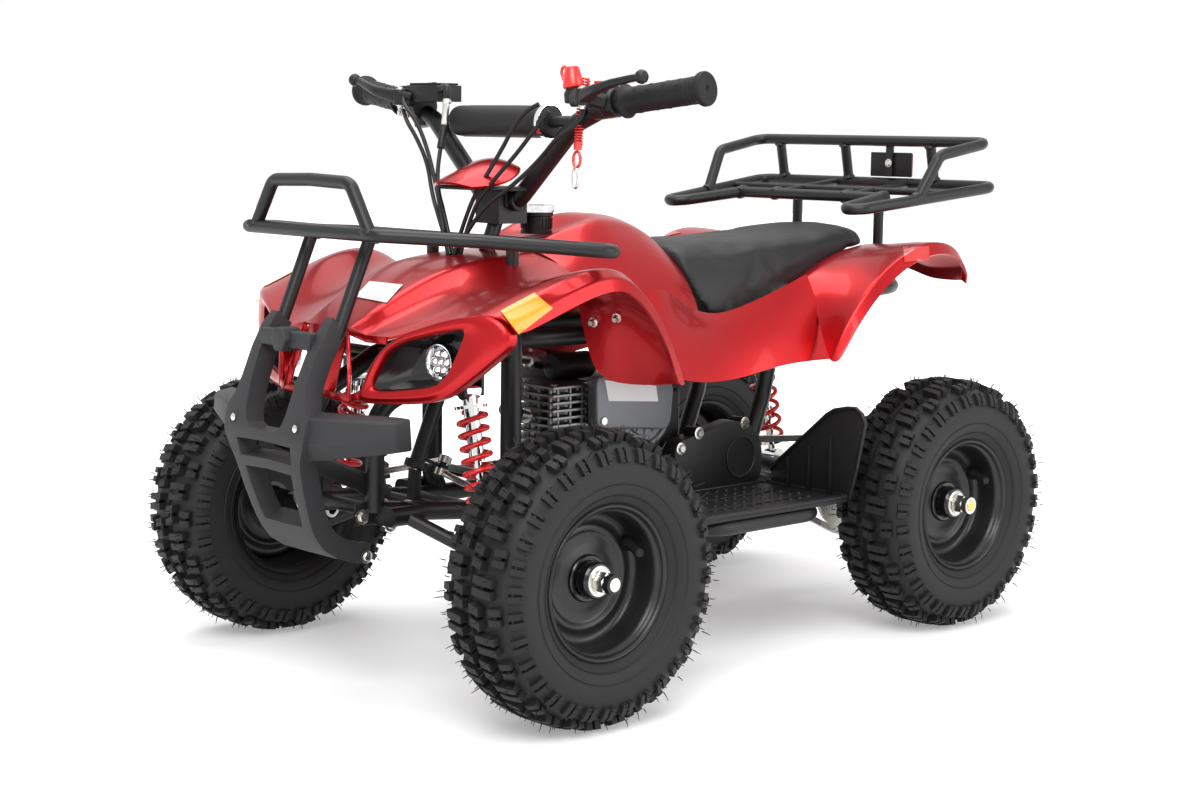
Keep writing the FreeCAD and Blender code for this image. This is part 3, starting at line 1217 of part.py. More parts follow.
# Footboards on two cross tubes, each board with a heel guard at its back
BOARD_FRONT_SHARE = -0.112
BOARD_REAR_SHARE = 0.165
BOARD_INNER_SHARE = 0.18
BOARD_OUTER_SHARE = 0.48
BOARD_HEIGHT_SHARE = 0.368
BOARD_THICKNESS = 6.0
BOARD_EDGE = 14.0
GUARD_THICKNESS = 5.0
GUARD_SHARES = [(0.21, 0.37), (0.21, 0.42), (0.42, 0.6), (0.5, 0.61), (0.53, 0.57), (0.48, 0.37)]
FOOT_TUBE_RADIUS = 9.0
FOOT_TUBE_SHARES = [
    (0.0, -0.08, 0.3594), (0.12, -0.08, 0.3594), (0.17, -0.08, 0.3494), (0.47, -0.09, 0.3494),
    (0.47, 0.12, 0.3494),
    (0.17, 0.115, 0.3494), (0.12, 0.115, 0.3594), (0.0, 0.115, 0.3594),
]


def footboard():
    inner = BOARD_INNER_SHARE * WIDTH_OVER_FENDERS
    outer = BOARD_OUTER_SHARE * WIDTH_OVER_FENDERS
    front = BOARD_FRONT_SHARE * LENGTH_OVER_RACKS
    rear = BOARD_REAR_SHARE * LENGTH_OVER_RACKS
    height = BOARD_HEIGHT_SHARE * SEAT_HEIGHT
    board = Part.makeBox(outer - inner, rear - front, BOARD_THICKNESS, Vector(inner, front, height))
    front_edge = Part.makeBox(outer - inner, BOARD_THICKNESS, BOARD_EDGE, Vector(inner, front, height))
    points = [Vector(x * WIDTH_OVER_FENDERS, rear - GUARD_THICKNESS, z * SEAT_HEIGHT) for x, z in GUARD_SHARES]
    guard = Part.Face(Part.makePolygon(points + points[:1])).extrude(Y_AXIS * GUARD_THICKNESS)
    return fused([board, front_edge, guard])


def foot_tubes():
    half = placed_tube(FOOT_TUBE_SHARES, FOOT_TUBE_RADIUS)
    return fused([half, mirrored(half)])


# Bull bar: side view of its face as y and z, from the horns down to the lip, and its parts as x ranges
BAR_FACE_SHARES = [
    (-0.512, 0.876), (-0.524, 0.84), (-0.546, 0.76), (-0.558, 0.66), (-0.564, 0.6), (-0.566, 0.44),
    (-0.544, 0.36),
    (-0.5, 0.325), (-0.452, 0.31),
]
BAR_DEPTH = 12.0
HORN_X_SHARES = (0.084, 0.136)
BRIDGE_X_SHARES = (-0.09, 0.09)
BRIDGE_Z_SHARES = [(0.8, 0.835), (0.55, 0.63), (0.34, 0.41)]
WING_ROW_SHARES = [(0.12, -0.556, 0.66), (0.35, -0.508, 0.68), (0.335, -0.5, 0.6), (0.12, -0.556, 0.55)]


def face_depth(height):
    """How far forward the bar's face is at a height, by straight lines between its points."""
    points = [(y * LENGTH_OVER_RACKS, z * SEAT_HEIGHT) for y, z in BAR_FACE_SHARES]
    for (y_high, z_high), (y_low, z_low) in zip(points, points[1:]):
        if z_low <= height <= z_high:
            share = (z_high - height) / (z_high - z_low)
            return y_high + (y_low - y_high) * share
    return points[-1][0]


def face_strip(z_from, z_to, x_from, x_to):
    """A piece of the bar between two heights and two widths."""
    bends = [z * SEAT_HEIGHT for y, z in BAR_FACE_SHARES if z_from < z * SEAT_HEIGHT < z_to]
    heights = [z_to] + bends + [z_from]
    front = [Vector(x_from, face_depth(height), height) for height in heights]
    back = [point + Y_AXIS * BAR_DEPTH for point in front]
    outline = front + back[::-1]
    return Part.Face(Part.makePolygon(outline + outline[:1])).extrude(X_AXIS * (x_to - x_from))


def bull_bar():
    top = BAR_FACE_SHARES[0][1] * SEAT_HEIGHT
    bottom = BAR_FACE_SHARES[-1][1] * SEAT_HEIGHT
    inner, outer = [share * WIDTH_OVER_FENDERS for share in HORN_X_SHARES]
    horn = face_strip(bottom, top, inner, outer)
    pieces = [horn, mirrored(horn)]
    bridge_from, bridge_to = [share * WIDTH_OVER_FENDERS for share in BRIDGE_X_SHARES]
    for low_share, high_share in BRIDGE_Z_SHARES:
        pieces.append(face_strip(low_share * SEAT_HEIGHT, high_share * SEAT_HEIGHT, bridge_from, bridge_to))
    corners = [place(shares) for shares in WING_ROW_SHARES]
    wing = wing_block(corners)
    pieces += [wing, mirrored(wing)]
    return welded(pieces)


def wing_block(corners):
    """A wing as a loft between its root and its tip."""
    root = section_of(corners[0], corners[3])
    tip = section_of(corners[1], corners[2])
    return Part.makeLoft([root, tip], True, True)


def section_of(high, low):
    back = Y_AXIS * BAR_DEPTH
    points = [high, low, low + back, high + back]
    return Part.makePolygon(points + points[:1])


make_wheels()
make_rear_axle()
save_knuckles()
make_steering()
save("frame", [frame()])
make_suspension()
save("front_rack", [front_rack()])
save("rear_rack", [rear_rack()])
save("tail_reflector", [tail_reflector()])
make_body()
save("seat", [seat()])
make_engine()
both_sides("footboards", [footboard()])
save("foot_tubes", [foot_tubes()])
save("bull_bar", [bull_bar()])
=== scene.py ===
"""The looks of a small quad bike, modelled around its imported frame."""
import math
import random

import bmesh
import bpy
from mathutils import Matrix, Vector


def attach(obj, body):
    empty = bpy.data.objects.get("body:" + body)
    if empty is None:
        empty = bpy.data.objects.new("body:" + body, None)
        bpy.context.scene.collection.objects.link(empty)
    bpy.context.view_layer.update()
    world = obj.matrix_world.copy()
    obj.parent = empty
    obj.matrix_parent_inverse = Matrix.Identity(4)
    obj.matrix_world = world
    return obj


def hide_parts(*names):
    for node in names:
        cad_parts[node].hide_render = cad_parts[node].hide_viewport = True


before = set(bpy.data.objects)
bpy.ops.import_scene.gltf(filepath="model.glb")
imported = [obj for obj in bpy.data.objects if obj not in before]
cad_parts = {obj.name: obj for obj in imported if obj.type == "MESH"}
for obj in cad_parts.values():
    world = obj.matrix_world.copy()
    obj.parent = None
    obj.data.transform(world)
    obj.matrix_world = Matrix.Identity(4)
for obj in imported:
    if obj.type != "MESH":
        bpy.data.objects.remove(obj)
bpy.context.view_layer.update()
random.seed(11)

MM = 0.001
ORIGIN = Vector((0, 0, 0))
X_AXIS = Vector((1, 0, 0))
Y_AXIS = Vector((0, 1, 0))
Z_AXIS = Vector((0, 0, 1))
SIDES = (1, -1)
SIDE_WORDS = {1: "left", -1: "right"}

# Wheels, in mm: the middle of each wheel, and the tyre's main radii
WHEEL_HEIGHT = 165.0
FRONT_AXLE_Y = -318.5
REAR_AXLE_Y = 373.5
FRONT_WHEEL_X = 297.0
REAR_WHEEL_X = 240.0
TREAD_RADIUS = 154.0
LUG_TOP_RADIUS = 164.0

# The body is laid out from mid-wheelbase, which lies this far in front of the middle of the length
MID_SHIFT = 27.5


def add_node(tree, kind, values=None, **settings):
    """A shader node with its settings and with values for its inputs."""
    node = tree.nodes.new("ShaderNode" + kind)
    for key, setting in settings.items():
        setattr(node, key, setting)
    for socket, value in (values or {}).items():
        node.inputs[socket].default_value = value
    return node


# Materials
def make_material(name, colour, rough, metal=0.0, coat=0.0, coat_rough=0.05, mottle=0.12, mottle_scale=18.0,
                  grain=0.0, grain_scale=900.0, rough_spread=0.06, transmission=0.0, specular=0.5):
    """A surface with slow colour and roughness changes and a fine grain in its bump."""
    material = bpy.data.materials.new(name)
    material.use_nodes = True
    tree = material.node_tree
    join = tree.links.new
    shader = tree.nodes["Principled BSDF"]
    place = add_node(tree, "TexCoord")
    slow = add_node(tree, "TexNoise", {"Scale": mottle_scale, "Detail": 6.0})
    join(place.outputs["Object"], slow.inputs["Vector"])
    tones = [[min(1.0, channel * share) for channel in colour] + [1.0] for share in (1 - mottle, 1 + mottle)]
    mix = add_node(tree, "Mix", {"A": tones[0], "B": tones[1]}, data_type="RGBA")
    join(slow.outputs["Fac"], mix.inputs["Factor"])
    join(mix.outputs["Result"], shader.inputs["Base Color"])
    roughness = {"To Min": max(0.0, rough - rough_spread), "To Max": rough + rough_spread}
    span = add_node(tree, "MapRange", roughness)
    join(slow.outputs["Fac"], span.inputs["Value"])
    join(span.outputs["Result"], shader.inputs["Roughness"])
    if grain:
        fine = add_node(tree, "TexNoise", {"Scale": grain_scale, "Detail": 4.0})
        join(place.outputs["Object"], fine.inputs["Vector"])
        bump = add_node(tree, "Bump", {"Strength": grain, "Distance": 0.6 * MM})
        join(fine.outputs["Fac"], bump.inputs["Height"])
        join(bump.outputs["Normal"], shader.inputs["Normal"])
    for socket, value in (("Metallic", metal), ("Coat Weight", coat), ("Coat Roughness", coat_rough),
                          ("Transmission Weight", transmission), ("Specular IOR Level", specular)):
        shader.inputs[socket].default_value = value
    return material


MATERIALS = {
    "red": make_material("candy_red_paint", (0.4, 0.003, 0.006), 0.3, metal=0.75, coat=0.2, coat_rough=0.04,
                         mottle=0.08, grain=0.02, grain_scale=2600.0),
    "black_steel": make_material("black_powder_coat", (0.009, 0.009, 0.01), 0.4, grain=0.12,
                                 grain_scale=1500.0, specular=0.32),
    "rim_black": make_material("rim_black_paint", (0.011, 0.011, 0.012), 0.36, coat=0.1, coat_rough=0.2,
                               grain=0.05, grain_scale=1200.0, specular=0.35),
    "tyre": make_material("tyre_rubber", (0.011, 0.011, 0.012), 0.58, grain=0.25, grain_scale=700.0,
                          mottle=0.3, rough_spread=0.1, specular=0.28),
    "bumper": make_material("textured_plastic", (0.026, 0.026, 0.028), 0.55, grain=0.5, grain_scale=1400.0,
                            specular=0.3),
    "plastic": make_material("black_plastic", (0.009, 0.009, 0.01), 0.44, grain=0.2, grain_scale=1600.0,
                             specular=0.3),
    "gloss_black": make_material("gloss_black", (0.007, 0.007, 0.008), 0.2, coat=0.2, specular=0.4),
    "grey": make_material("grey_plastic", (0.15, 0.155, 0.165), 0.42, metal=0.5, grain=0.3,
                          grain_scale=1300.0, specular=0.3),
    "rubber": make_material("soft_rubber", (0.009, 0.009, 0.01), 0.62, grain=0.2, grain_scale=1100.0,
                            specular=0.25),
    "cable": make_material("cable_sleeve", (0.009, 0.009, 0.01), 0.42, grain=0.1, grain_scale=900.0,
                           specular=0.3),
    "foam": make_material("foam_skin", (0.013, 0.013, 0.014), 0.58, grain=0.2, grain_scale=1000.0,
                          specular=0.28),
    "vinyl": make_material("seat_vinyl", (0.012, 0.012, 0.013), 0.5, grain=0.35, grain_scale=750.0,
                           mottle=0.2, specular=0.3),
    "zinc": make_material("zinc_plate", (0.62, 0.61, 0.57), 0.28, metal=1.0, mottle=0.15,
                          mottle_scale=90.0),
    "chrome": make_material("chrome_plate", (0.8, 0.8, 0.8), 0.08, metal=1.0, mottle=0.03,
                            rough_spread=0.03),
    "brass": make_material("brass_end", (0.75, 0.5, 0.16), 0.3, metal=1.0, mottle=0.1),
    "red_steel": make_material("red_spring_paint", (0.78, 0.01, 0.01), 0.32, coat=0.2),
    "engine": make_material("engine_black_paint", (0.01, 0.01, 0.011), 0.46, grain=0.3, grain_scale=800.0,
                            specular=0.3),
    # Lighter grey metal over the whole of the black fins: painted highlight, not their own black paint
    "fins": make_material("fin_grey_painted_highlight", (0.17, 0.17, 0.17), 0.4, metal=0.9, grain=0.2),
    "exhaust": make_material("exhaust_steel", (0.12, 0.11, 0.1), 0.4, metal=0.9, mottle=0.35,
                             mottle_scale=30.0),
    "label": make_material("blank_label", (0.82, 0.82, 0.82), 0.35, mottle=0.03),
    "amber": make_material("amber_reflector", (0.88, 0.3, 0.006), 0.3, coat=0.3, mottle=0.25,
                           mottle_scale=260.0),
    "red_lens": make_material("red_reflector", (0.5, 0.01, 0.01), 0.2, coat=0.8, mottle=0.2,
                              mottle_scale=260.0),
    "red_plastic": make_material("bright_red_plastic", (0.75, 0.02, 0.012), 0.3, coat=0.3),
    "lamp": make_material("clear_lens", (0.95, 0.96, 0.97), 0.04, transmission=1.0, mottle=0.01,
                          rough_spread=0.01),
    "reflector": make_material("lamp_bowl", (0.86, 0.87, 0.88), 0.1, metal=1.0, mottle=0.02,
                               rough_spread=0.04),
}


# Places
def at(x, y, z):
    return Vector((x, y + MID_SHIFT, z))


def mirrored(points, side):
    """Points of the left side in place, or their mirror images on the right."""
    return [at(x * side, y, z) for x, y, z in points]


def mirror_x(vector, side):
    return Vector((vector.x * side, vector.y, vector.z))


def round_turn(count):
    """The angles of equal steps round a circle."""
    return [2 * math.pi * step / count for step in range(count)]


# Mesh helpers
def meshes(count):
    return [bmesh.new() for _ in range(count)]


def mesh_of(name, bm):
    bmesh.ops.recalc_face_normals(bm, faces=bm.faces)
    mesh = bpy.data.meshes.new(name)
    bm.to_mesh(mesh)
    bm.free()
    return mesh


def link(name, mesh, material, replaces, body):
    piece = bpy.data.objects.new(name, mesh)
    bpy.context.scene.collection.objects.link(piece)
    piece.data.materials.append(MATERIALS[material])
    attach(piece, body)
    if replaces:
        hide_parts(*replaces)
    return piece


def smooth_by_angle(mesh, limit=35.0):
    """Smooth faces, with the edges that turn more than the limit kept sharp."""
    bm = bmesh.new()
    bm.from_mesh(mesh)
    for face in bm.faces:
        face.smooth = True
    for edge in bm.edges:
        edge.smooth = len(edge.link_faces) == 2 and edge.calc_face_angle(0.0) < math.radians(limit)
    bm.to_mesh(mesh)
    bm.free()


def apply_modifiers(piece):
    graph = bpy.context.evaluated_depsgraph_get()
    mesh = bpy.data.meshes.new_from_object(piece.evaluated_get(graph))
    piece.modifiers.clear()
    piece.data = mesh


def add_surface(piece, levels):
    surface = piece.modifiers.new("surface", "SUBSURF")
    surface.levels = surface.render_levels = levels


def add_piece(name, bm, material, replaces=(), body="chassis", limit=35.0, bevel=0.0, segments=2,
              levels=0, wall=0.0):
    """Turns a bmesh into a piece, with its modifiers applied. Its bevel and wall are in mm."""
    piece = link(name, mesh_of(name, bm), material, replaces, body)
    if levels:
        add_surface(piece, levels)
    if wall:
        shell = piece.modifiers.new("shell", "SOLIDIFY")
        shell.thickness = wall * MM
        shell.offset = -1.0
    if bevel:
        edge = piece.modifiers.new("edge", "BEVEL")
        edge.width = bevel * MM
        edge.segments = segments
        edge.limit_method = "ANGLE"
        edge.angle_limit = math.radians(limit)
    if piece.modifiers:
        apply_modifiers(piece)
    smooth_by_angle(piece.data, limit)
    return piece


def join_rings(bm, rings, closed=False, caps=True):
    """Faces from each ring of vertices to the next, and from the last to the first or over both ends."""
    for first, second in list(zip(rings, rings[1:])) + [(rings[-1], rings[0])] * closed:
        for step in range(len(first)):
            after = (step + 1) % len(first)
            bm.faces.new((first[step], first[after], second[after], second[step]))
    if caps and not closed:
        bm.faces.new(rings[0])
        bm.faces.new(rings[-1])


def loft(bm, rings, closed=False, caps=True):
    """A skin over rings of as many points each, in mm."""
    join_rings(bm, [[bm.verts.new(point * MM) for point in ring] for ring in rings], closed, caps)


def lathe(bm, profile, centre=ORIGIN, segments=64, axis=X_AXIS, closed=False):
    """Turns (along, radius) pairs, in mm, about an axis through a centre in mm."""
    side = axis.orthogonal().normalized()
    turns = [Matrix.Rotation(angle, 3, axis) for angle in round_turn(segments)]
    rings = [[centre + axis * along + (turn @ side) * radius for turn in turns] for along, radius in profile]
    loft(bm, rings, closed)


def rounded_points(points, bend, steps=6):
    """The route of a bent tube, its corners replaced by short chords of an arc."""
    route = [points[0]]
    for before, corner, after in zip(points, points[1:], points[2:]):
        back = (before - corner).normalized()
        ahead = (after - corner).normalized()
        half_turn = (math.pi - back.angle(ahead)) / 2
        if half_turn < 0.01:
            continue
        reach = min((before - corner).length, (after - corner).length) / 2
        trim = min(bend * math.tan(half_turn), reach)
        radius = trim / math.tan(half_turn)
        middle = (back + ahead).normalized()
        centre = corner + middle * (radius / math.cos(half_turn))
        start = corner + back * trim - centre
        end = corner + ahead * trim - centre
        for step in range(steps + 1):
            route.append(centre + start.slerp(end, step / steps).normalized() * radius)
    route.append(points[-1])
    return route


def tube(bm, route, radius, sides=14, caps=True):
    """A round tube along a route in mm. The radius may be one number or one for each point."""
    radii = radius if isinstance(radius, list) else [radius] * len(route)
    normal = (route[1] - route[0]).normalized().orthogonal().normalized()
    rings = []
    for index, point in enumerate(route):
        ahead = direction_at(route, index)
        normal = (normal - ahead * normal.dot(ahead)).normalized()
        across = ahead.cross(normal)
        rings.append([point + (normal * math.cos(angle) + across * math.sin(angle)) * radii[index]
                      for angle in round_turn(sides)])
    loft(bm, rings, caps=caps)


def direction_at(route, index):
    return (route[min(index + 1, len(route) - 1)] - route[max(index - 1, 0)]).normalized()


STRAP_SECTION = ((1, 0.55), (0.6, 1), (-0.6, 1), (-1, 0.55), (-1, -0.55), (-0.6, -1), (0.6, -1), (1, -0.55))


def strap(bm, route, half_widths, half_heights, up=Z_AXIS):
    """A flat bar along a route. Its half width and half height may be one number or one for each point."""
    rings = []
    for index, point in enumerate(route):
        ahead = direction_at(route, index)
        across = ahead.cross(up).normalized()
        rise = across.cross(ahead).normalized()
        width = half_widths[index] if isinstance(half_widths, list) else half_widths
        height = half_heights[index] if isinstance(half_heights, list) else half_heights
        rings.append([point + across * width * a + rise * height * b for a, b in STRAP_SECTION])
    loft(bm, rings)


def rod(bm, start, end, radius, sides=20):
    tube(bm, [start, end], radius, sides)


def box(bm, centre, size, turn=None):
    """A box with its middle at a point, both in mm."""
    corners = []
    for x in (-0.5, 0.5):
        for y in (-0.5, 0.5):
            for z in (-0.5, 0.5):
                offset = Vector((x * size[0], y * size[1], z * size[2]))
                if turn:
                    offset = turn @ offset
                corners.append(bm.verts.new((centre + offset) * MM))
    for face in ((0, 1, 3, 2), (4, 6, 7, 5), (0, 4, 5, 1), (2, 3, 7, 6), (0, 2, 6, 4), (1, 5, 7, 3)):
        bm.faces.new([corners[index] for index in face])


def prism(bm, outline, depth):
    """A flat outline in mm, pushed along a depth vector."""
    front = [bm.verts.new(point * MM) for point in outline]
    back = [bm.verts.new((point + depth) * MM) for point in outline]
    bm.faces.new(front)
    bm.faces.new(back[::-1])
    for step in range(len(front)):
        after = (step + 1) % len(front)
        bm.faces.new((front[step], back[step], back[after], front[after]))


def bolt(bm, point, out, radius, height):
    """A hexagon head on a round washer, facing out."""
    lathe(bm, [(0.0, radius * 1.5), (1.2, radius * 1.5), (1.4, radius * 1.35)], point, 20, out)
    head = [(0.0, radius), (height * 0.8, radius), (height, radius * 0.86), (height, radius * 0.3)]
    lathe(bm, head, point, 6, out)


# Tyres
CARCASS = [
    (36.0, 79.0), (40.0, 85.0), (44.0, 90.0), (49.0, 97.0), (52.5, 106.0), (54.5, 118.0), (54.0, 130.0),
    (51.0, 140.0), (45.0, 147.0), (36.0, 151.0), (24.0, 153.5), (12.0, TREAD_RADIUS), (4.5, TREAD_RADIUS),
    (3.5, 151.0), (0.0, 151.0),
]
LUG_STEPS = 16
HAIR_RADIUS = 0.8
# Lugs of one step: distances across the tyre, half a step on or not, turn, length, height and lean
LUGS = [
    ((5.0, 12.0, 19.0), 0, 0.0, 24.0, 10.0, 0.25), ((10.0, 18.0, 26.0, 34.0), 1, 0.0, 21.0, 10.0, 0.1),
    ((30.0, 36.0, 42.0), 0, 0.0, 19.0, 8.5, 0.0), ((46.0, 50.0, 53.3), 0, 2.0, 17.0, 5.0, 0.0),
    ((46.0, 50.0, 53.3), 1, 2.0, 17.0, 5.0, 0.0),
]
# Whiskers of one step: distance across the tyre, half a step on or not, and turn
WHISKERS = [
    (12.0, 0, -2.5), (16.0, 0, 2.5), (26.0, 1, -2.0), (33.0, 1, 2.0), (38.0, 0, 0.0), (52.0, 1, 3.5),
    (52.0, 0, 0.5), (8.0, 0, 1.0), (20.0, 1, 1.0), (30.0, 1, -4.0), (44.0, 0, 3.0), (47.0, 1, 0.0),
    (51.0, 0, -4.0),
]
SHOULDER_X = 50.0
LUG_DRAFT = 0.12
SIDEWALL_RIBS = ((96.5, 49.2), (109.0, 53.4))


def carcass_at(x):
    """The carcass radius at a distance across the tyre, and the outward normal there."""
    profile = CARCASS[4:]
    for (x_a, r_a), (x_b, r_b) in zip(profile, profile[1:]):
        if x_b <= abs(x) <= x_a:
            share = (x_a - abs(x)) / max(x_a - x_b, 0.01)
            radius = r_a + (r_b - r_a) * share
            lean = Vector((r_b - r_a, x_a - x_b)).normalized()
            return radius, Vector((math.copysign(abs(lean.x), x), lean.y))
    return profile[0][1], Vector((math.copysign(1.0, x), 0.0))


def wheel_point(x, radius, angle):
    return Vector((x, radius * math.cos(angle), radius * math.sin(angle)))


def tread_block(bm, xs, turn, span, height, lean):
    """A block that follows the carcass across xs, centred on a turn in degrees and span mm long."""
    rows = []
    for x in xs:
        radius, normal = carcass_at(x)
        middle = math.radians(turn) + lean * (x - xs[0]) / radius
        half = span / 2 / radius
        top_half = half * (1 - LUG_DRAFT)
        foot_x, foot_r = x - normal.x * 2.0, radius - normal.y * 2.0
        top_x, top_r = x + normal.x * height, min(radius + normal.y * height, LUG_TOP_RADIUS)
        rows.append([
            wheel_point(foot_x, foot_r, middle - half), wheel_point(foot_x, foot_r, middle + half),
            wheel_point(top_x, top_r, middle + top_half), wheel_point(top_x, top_r, middle - top_half),
        ])
    loft(bm, rows)


def split_block(bm, xs, turn, span, height, lean):
    """Two bars with a thin slot between them, as one lug."""
    radius = carcass_at(xs[0])[0]
    bar = span * 0.42
    shift = math.degrees((span - bar) / 2 / radius)
    tread_block(bm, xs, turn - shift, bar, height, lean)
    tread_block(bm, xs, turn + shift, bar, height, lean)
    middle = [xs[0] + (xs[-1] - xs[0]) * share for share in (0.3, 0.55)]
    tread_block(bm, middle, turn, span * 0.3, height * 0.6, lean)


def hair(bm, x, turn, length, rise):
    """A rubber whisker that stands out of a lug, left off where the tyre stands on the ground."""
    angle = math.radians(turn)
    radius, normal = carcass_at(x)
    start = wheel_point(x + normal.x * rise, min(radius + normal.y * rise, LUG_TOP_RADIUS) - 1.0, angle)
    out = wheel_point(normal.x, normal.y, angle)
    bend = Vector((random.uniform(-0.5, 0.5), random.uniform(-0.5, 0.5), random.uniform(-0.5, 0.5)))
    middle = start + out * (length * 0.55) + bend * (length * 0.1)
    end = start + out * length + bend * (length * 0.35)
    if end.z < 1.0 - LUG_TOP_RADIUS:
        return
    tube(bm, [start, middle, end], [HAIR_RADIUS, HAIR_RADIUS * 0.8, HAIR_RADIUS * 0.4], 3)


def tyre_mesh():
    """Carcass with its centre groove, the lugs in their rows, sidewall ribs and whiskers."""
    bm = bmesh.new()
    lathe(bm, CARCASS + [(-x, radius) for x, radius in CARCASS[-2::-1]], ORIGIN, 144, closed=True)
    step_angle = 360.0 / LUG_STEPS
    for index in range(LUG_STEPS):
        for side in SIDES:
            turn = step_angle * (index + (0.25 if side > 0 else 0.0))
            turns = (turn, turn + step_angle / 2)
            for xs, half, shift, span, height, lean in LUGS:
                split_block(bm, [side * x for x in xs], turns[half] + shift, span, height, lean)
            for x, half, shift in WHISKERS:
                longest, rise = (8.0, 5.0) if x > SHOULDER_X else (12.0, 9.0)
                hair(bm, side * x, turns[half] + shift, random.uniform(5.0, longest), rise)
    for side in SIDES:
        for radius, x in SIDEWALL_RIBS:
            foot = side * (x - 1.0)
            ring = [(foot, radius - 1.4), (side * (x + 0.7), radius), (foot, radius + 1.4)]
            lathe(bm, ring, ORIGIN, 96, closed=True)
    return bm


# Rims: (along, radius) from the outer lip inwards, in mm, for a wheel whose outer side is +X
RIM_OUTLINE = [
    (41.0, 87.5), (43.5, 86.5), (44.5, 84.5), (43.5, 82.5), (41.0, 81.2), (38.0, 80.6), (36.5, 78.8),
    (35.5, 77.2), (30.0, 75.8), (18.0, 75.0), (8.0, 74.0), (4.0, 71.5), (2.5, 67.5), (3.0, 62.0),
    (5.0, 59.5), (6.5, 56.5), (6.2, 53.5), (3.5, 51.0), (2.0, 48.0), (4.0, 36.0), (6.5, 26.0), (7.0, 20.0),
]
RIM_BARREL = [(-6.0, 76.5), (-30.0, 77.5), (-38.0, 80.0), (-43.0, 84.0), (-45.0, 87.0), (-42.0, 87.6),
              (-38.0, 83.5), (-30.0, 80.5), (30.0, 80.5), (38.0, 84.0)]
# Turned parts: the profile and the number of sides of each of their bodies
HUB_BODIES = [
    ([(4.0, 27.0), (9.0, 26.5), (10.5, 25.0), (10.5, 22.0), (8.0, 21.5), (8.0, 8.0)], 48),
    ([(6.0, 20.5), (24.0, 20.5), (26.0, 19.0), (26.0, 8.0)], 40),
    ([(-42.0, 18.5), (2.0, 18.5), (2.0, 10.0)], 32),
]
NUT_BODIES = [
    ([(26.0, 17.0), (28.0, 17.0), (28.5, 16.0), (28.5, 9.0)], 32),
    ([(28.5, 13.5), (31.0, 13.5), (31.5, 9.0)], 32),
    ([(31.0, 12.6), (42.5, 12.6), (44.0, 11.0), (44.0, 8.5)], 6),
    ([(43.0, 9.0), (47.5, 9.0), (49.5, 7.8), (52.0, 7.6), (52.3, 3.0)], 20),
]
TIP_BODIES = [([(43.5, 8.8), (49.0, 8.8), (50.5, 8.0), (52.6, 7.0), (52.6, 3.0)], 24)]
VALVE_PROFILE = [(0.0, 8.0), (5.0, 7.0), (8.0, 5.0), (20.0, 4.4), (22.0, 4.0), (22.0, 5.2), (31.0, 5.2),
                 (32.5, 4.0)]
VALVE_TURN = 28.0


def rim_bm():
    """A stamped steel wheel: rolled lips, a deep barrel and a stepped disc."""
    bm = bmesh.new()
    inner = [(along - 2.6, radius + 0.4) for along, radius in RIM_OUTLINE[:7:-1]]
    lathe(bm, RIM_OUTLINE + [(0.0, 19.0)] + inner[:-1] + RIM_BARREL, ORIGIN, 96, closed=True)
    return bm


def turned_bm(bodies):
    bm = bmesh.new()
    for profile, segments in bodies:
        lathe(bm, profile, ORIGIN, segments)
    return bm


def valve_bm():
    bm = bmesh.new()
    angle = math.radians(VALVE_TURN)
    out = (X_AXIS - wheel_point(0.0, 0.35, angle)).normalized()
    lathe(bm, VALVE_PROFILE, wheel_point(8.0, 66.0, angle), 16, out)
    return bm


def copy_to_wheel(pattern, bm, side, front):
    """Adds a wheel's part to a bmesh at one of the four wheels, mirrored on the right."""
    x, y = (FRONT_WHEEL_X, FRONT_AXLE_Y) if front else (REAR_WHEEL_X, REAR_AXLE_Y)
    centre = Vector((side * x, y, WHEEL_HEIGHT))
    made = {vert: bm.verts.new(mirror_x(vert.co, side) + centre * MM) for vert in pattern.verts}
    for face in pattern.faces:
        bm.faces.new([made[vert] for vert in face.verts])


def add_rear_pair(pattern, name, material, replaces=(), limit=35.0):
    bm = bmesh.new()
    for side in SIDES:
        copy_to_wheel(pattern, bm, side, False)
    add_piece(name, bm, material, replaces, "rear_axle", limit)


def add_wheel_parts(pattern, name, material, node=None, rear_node=None, limit=35.0, rear_name=None,
                    body="wheel_front_"):
    """The same part at all four wheels: one piece for each front wheel and one for the rear pair."""
    for side in SIDES:
        word = SIDE_WORDS[side]
        bm = bmesh.new()
        copy_to_wheel(pattern, bm, side, True)
        replaces = [node + word] if node else []
        add_piece(name + "_front_" + word, bm, material, replaces, body + word, limit)
    rear_replaces = [rear_node] if rear_node else []
    add_rear_pair(pattern, rear_name or name + "_rear", material, rear_replaces, limit)


def add_wheels():
    add_wheel_parts(tyre_mesh(), "knobby_tyre", "tyre", "tyre_front_", "rear_tyres",
                    rear_name="knobby_tyres_rear")
    add_wheel_parts(rim_bm(), "stamped_rim", "rim_black", "rim_front_", "rear_rims", limit=50.0)
    add_wheel_parts(turned_bm(HUB_BODIES), "hub_seal", "gloss_black")
    add_wheel_parts(valve_bm(), "valve_stem", "rubber")
    add_wheel_parts(turned_bm(NUT_BODIES), "axle_nut", "zinc", body="knuckle_")
    add_rear_pair(turned_bm(TIP_BODIES), "rear_axle_tips", "brass")


# Panels of the body: rows of points in mm, or as shares of the part's width, length and seat height
PANEL_WALL = 3.0


def placed(shares):
    """A point from shares of the width over the fenders, the length over the racks and the seat's height."""
    return shares[0] * 500.0, shares[1] * 1000.0, shares[2] * 500.0


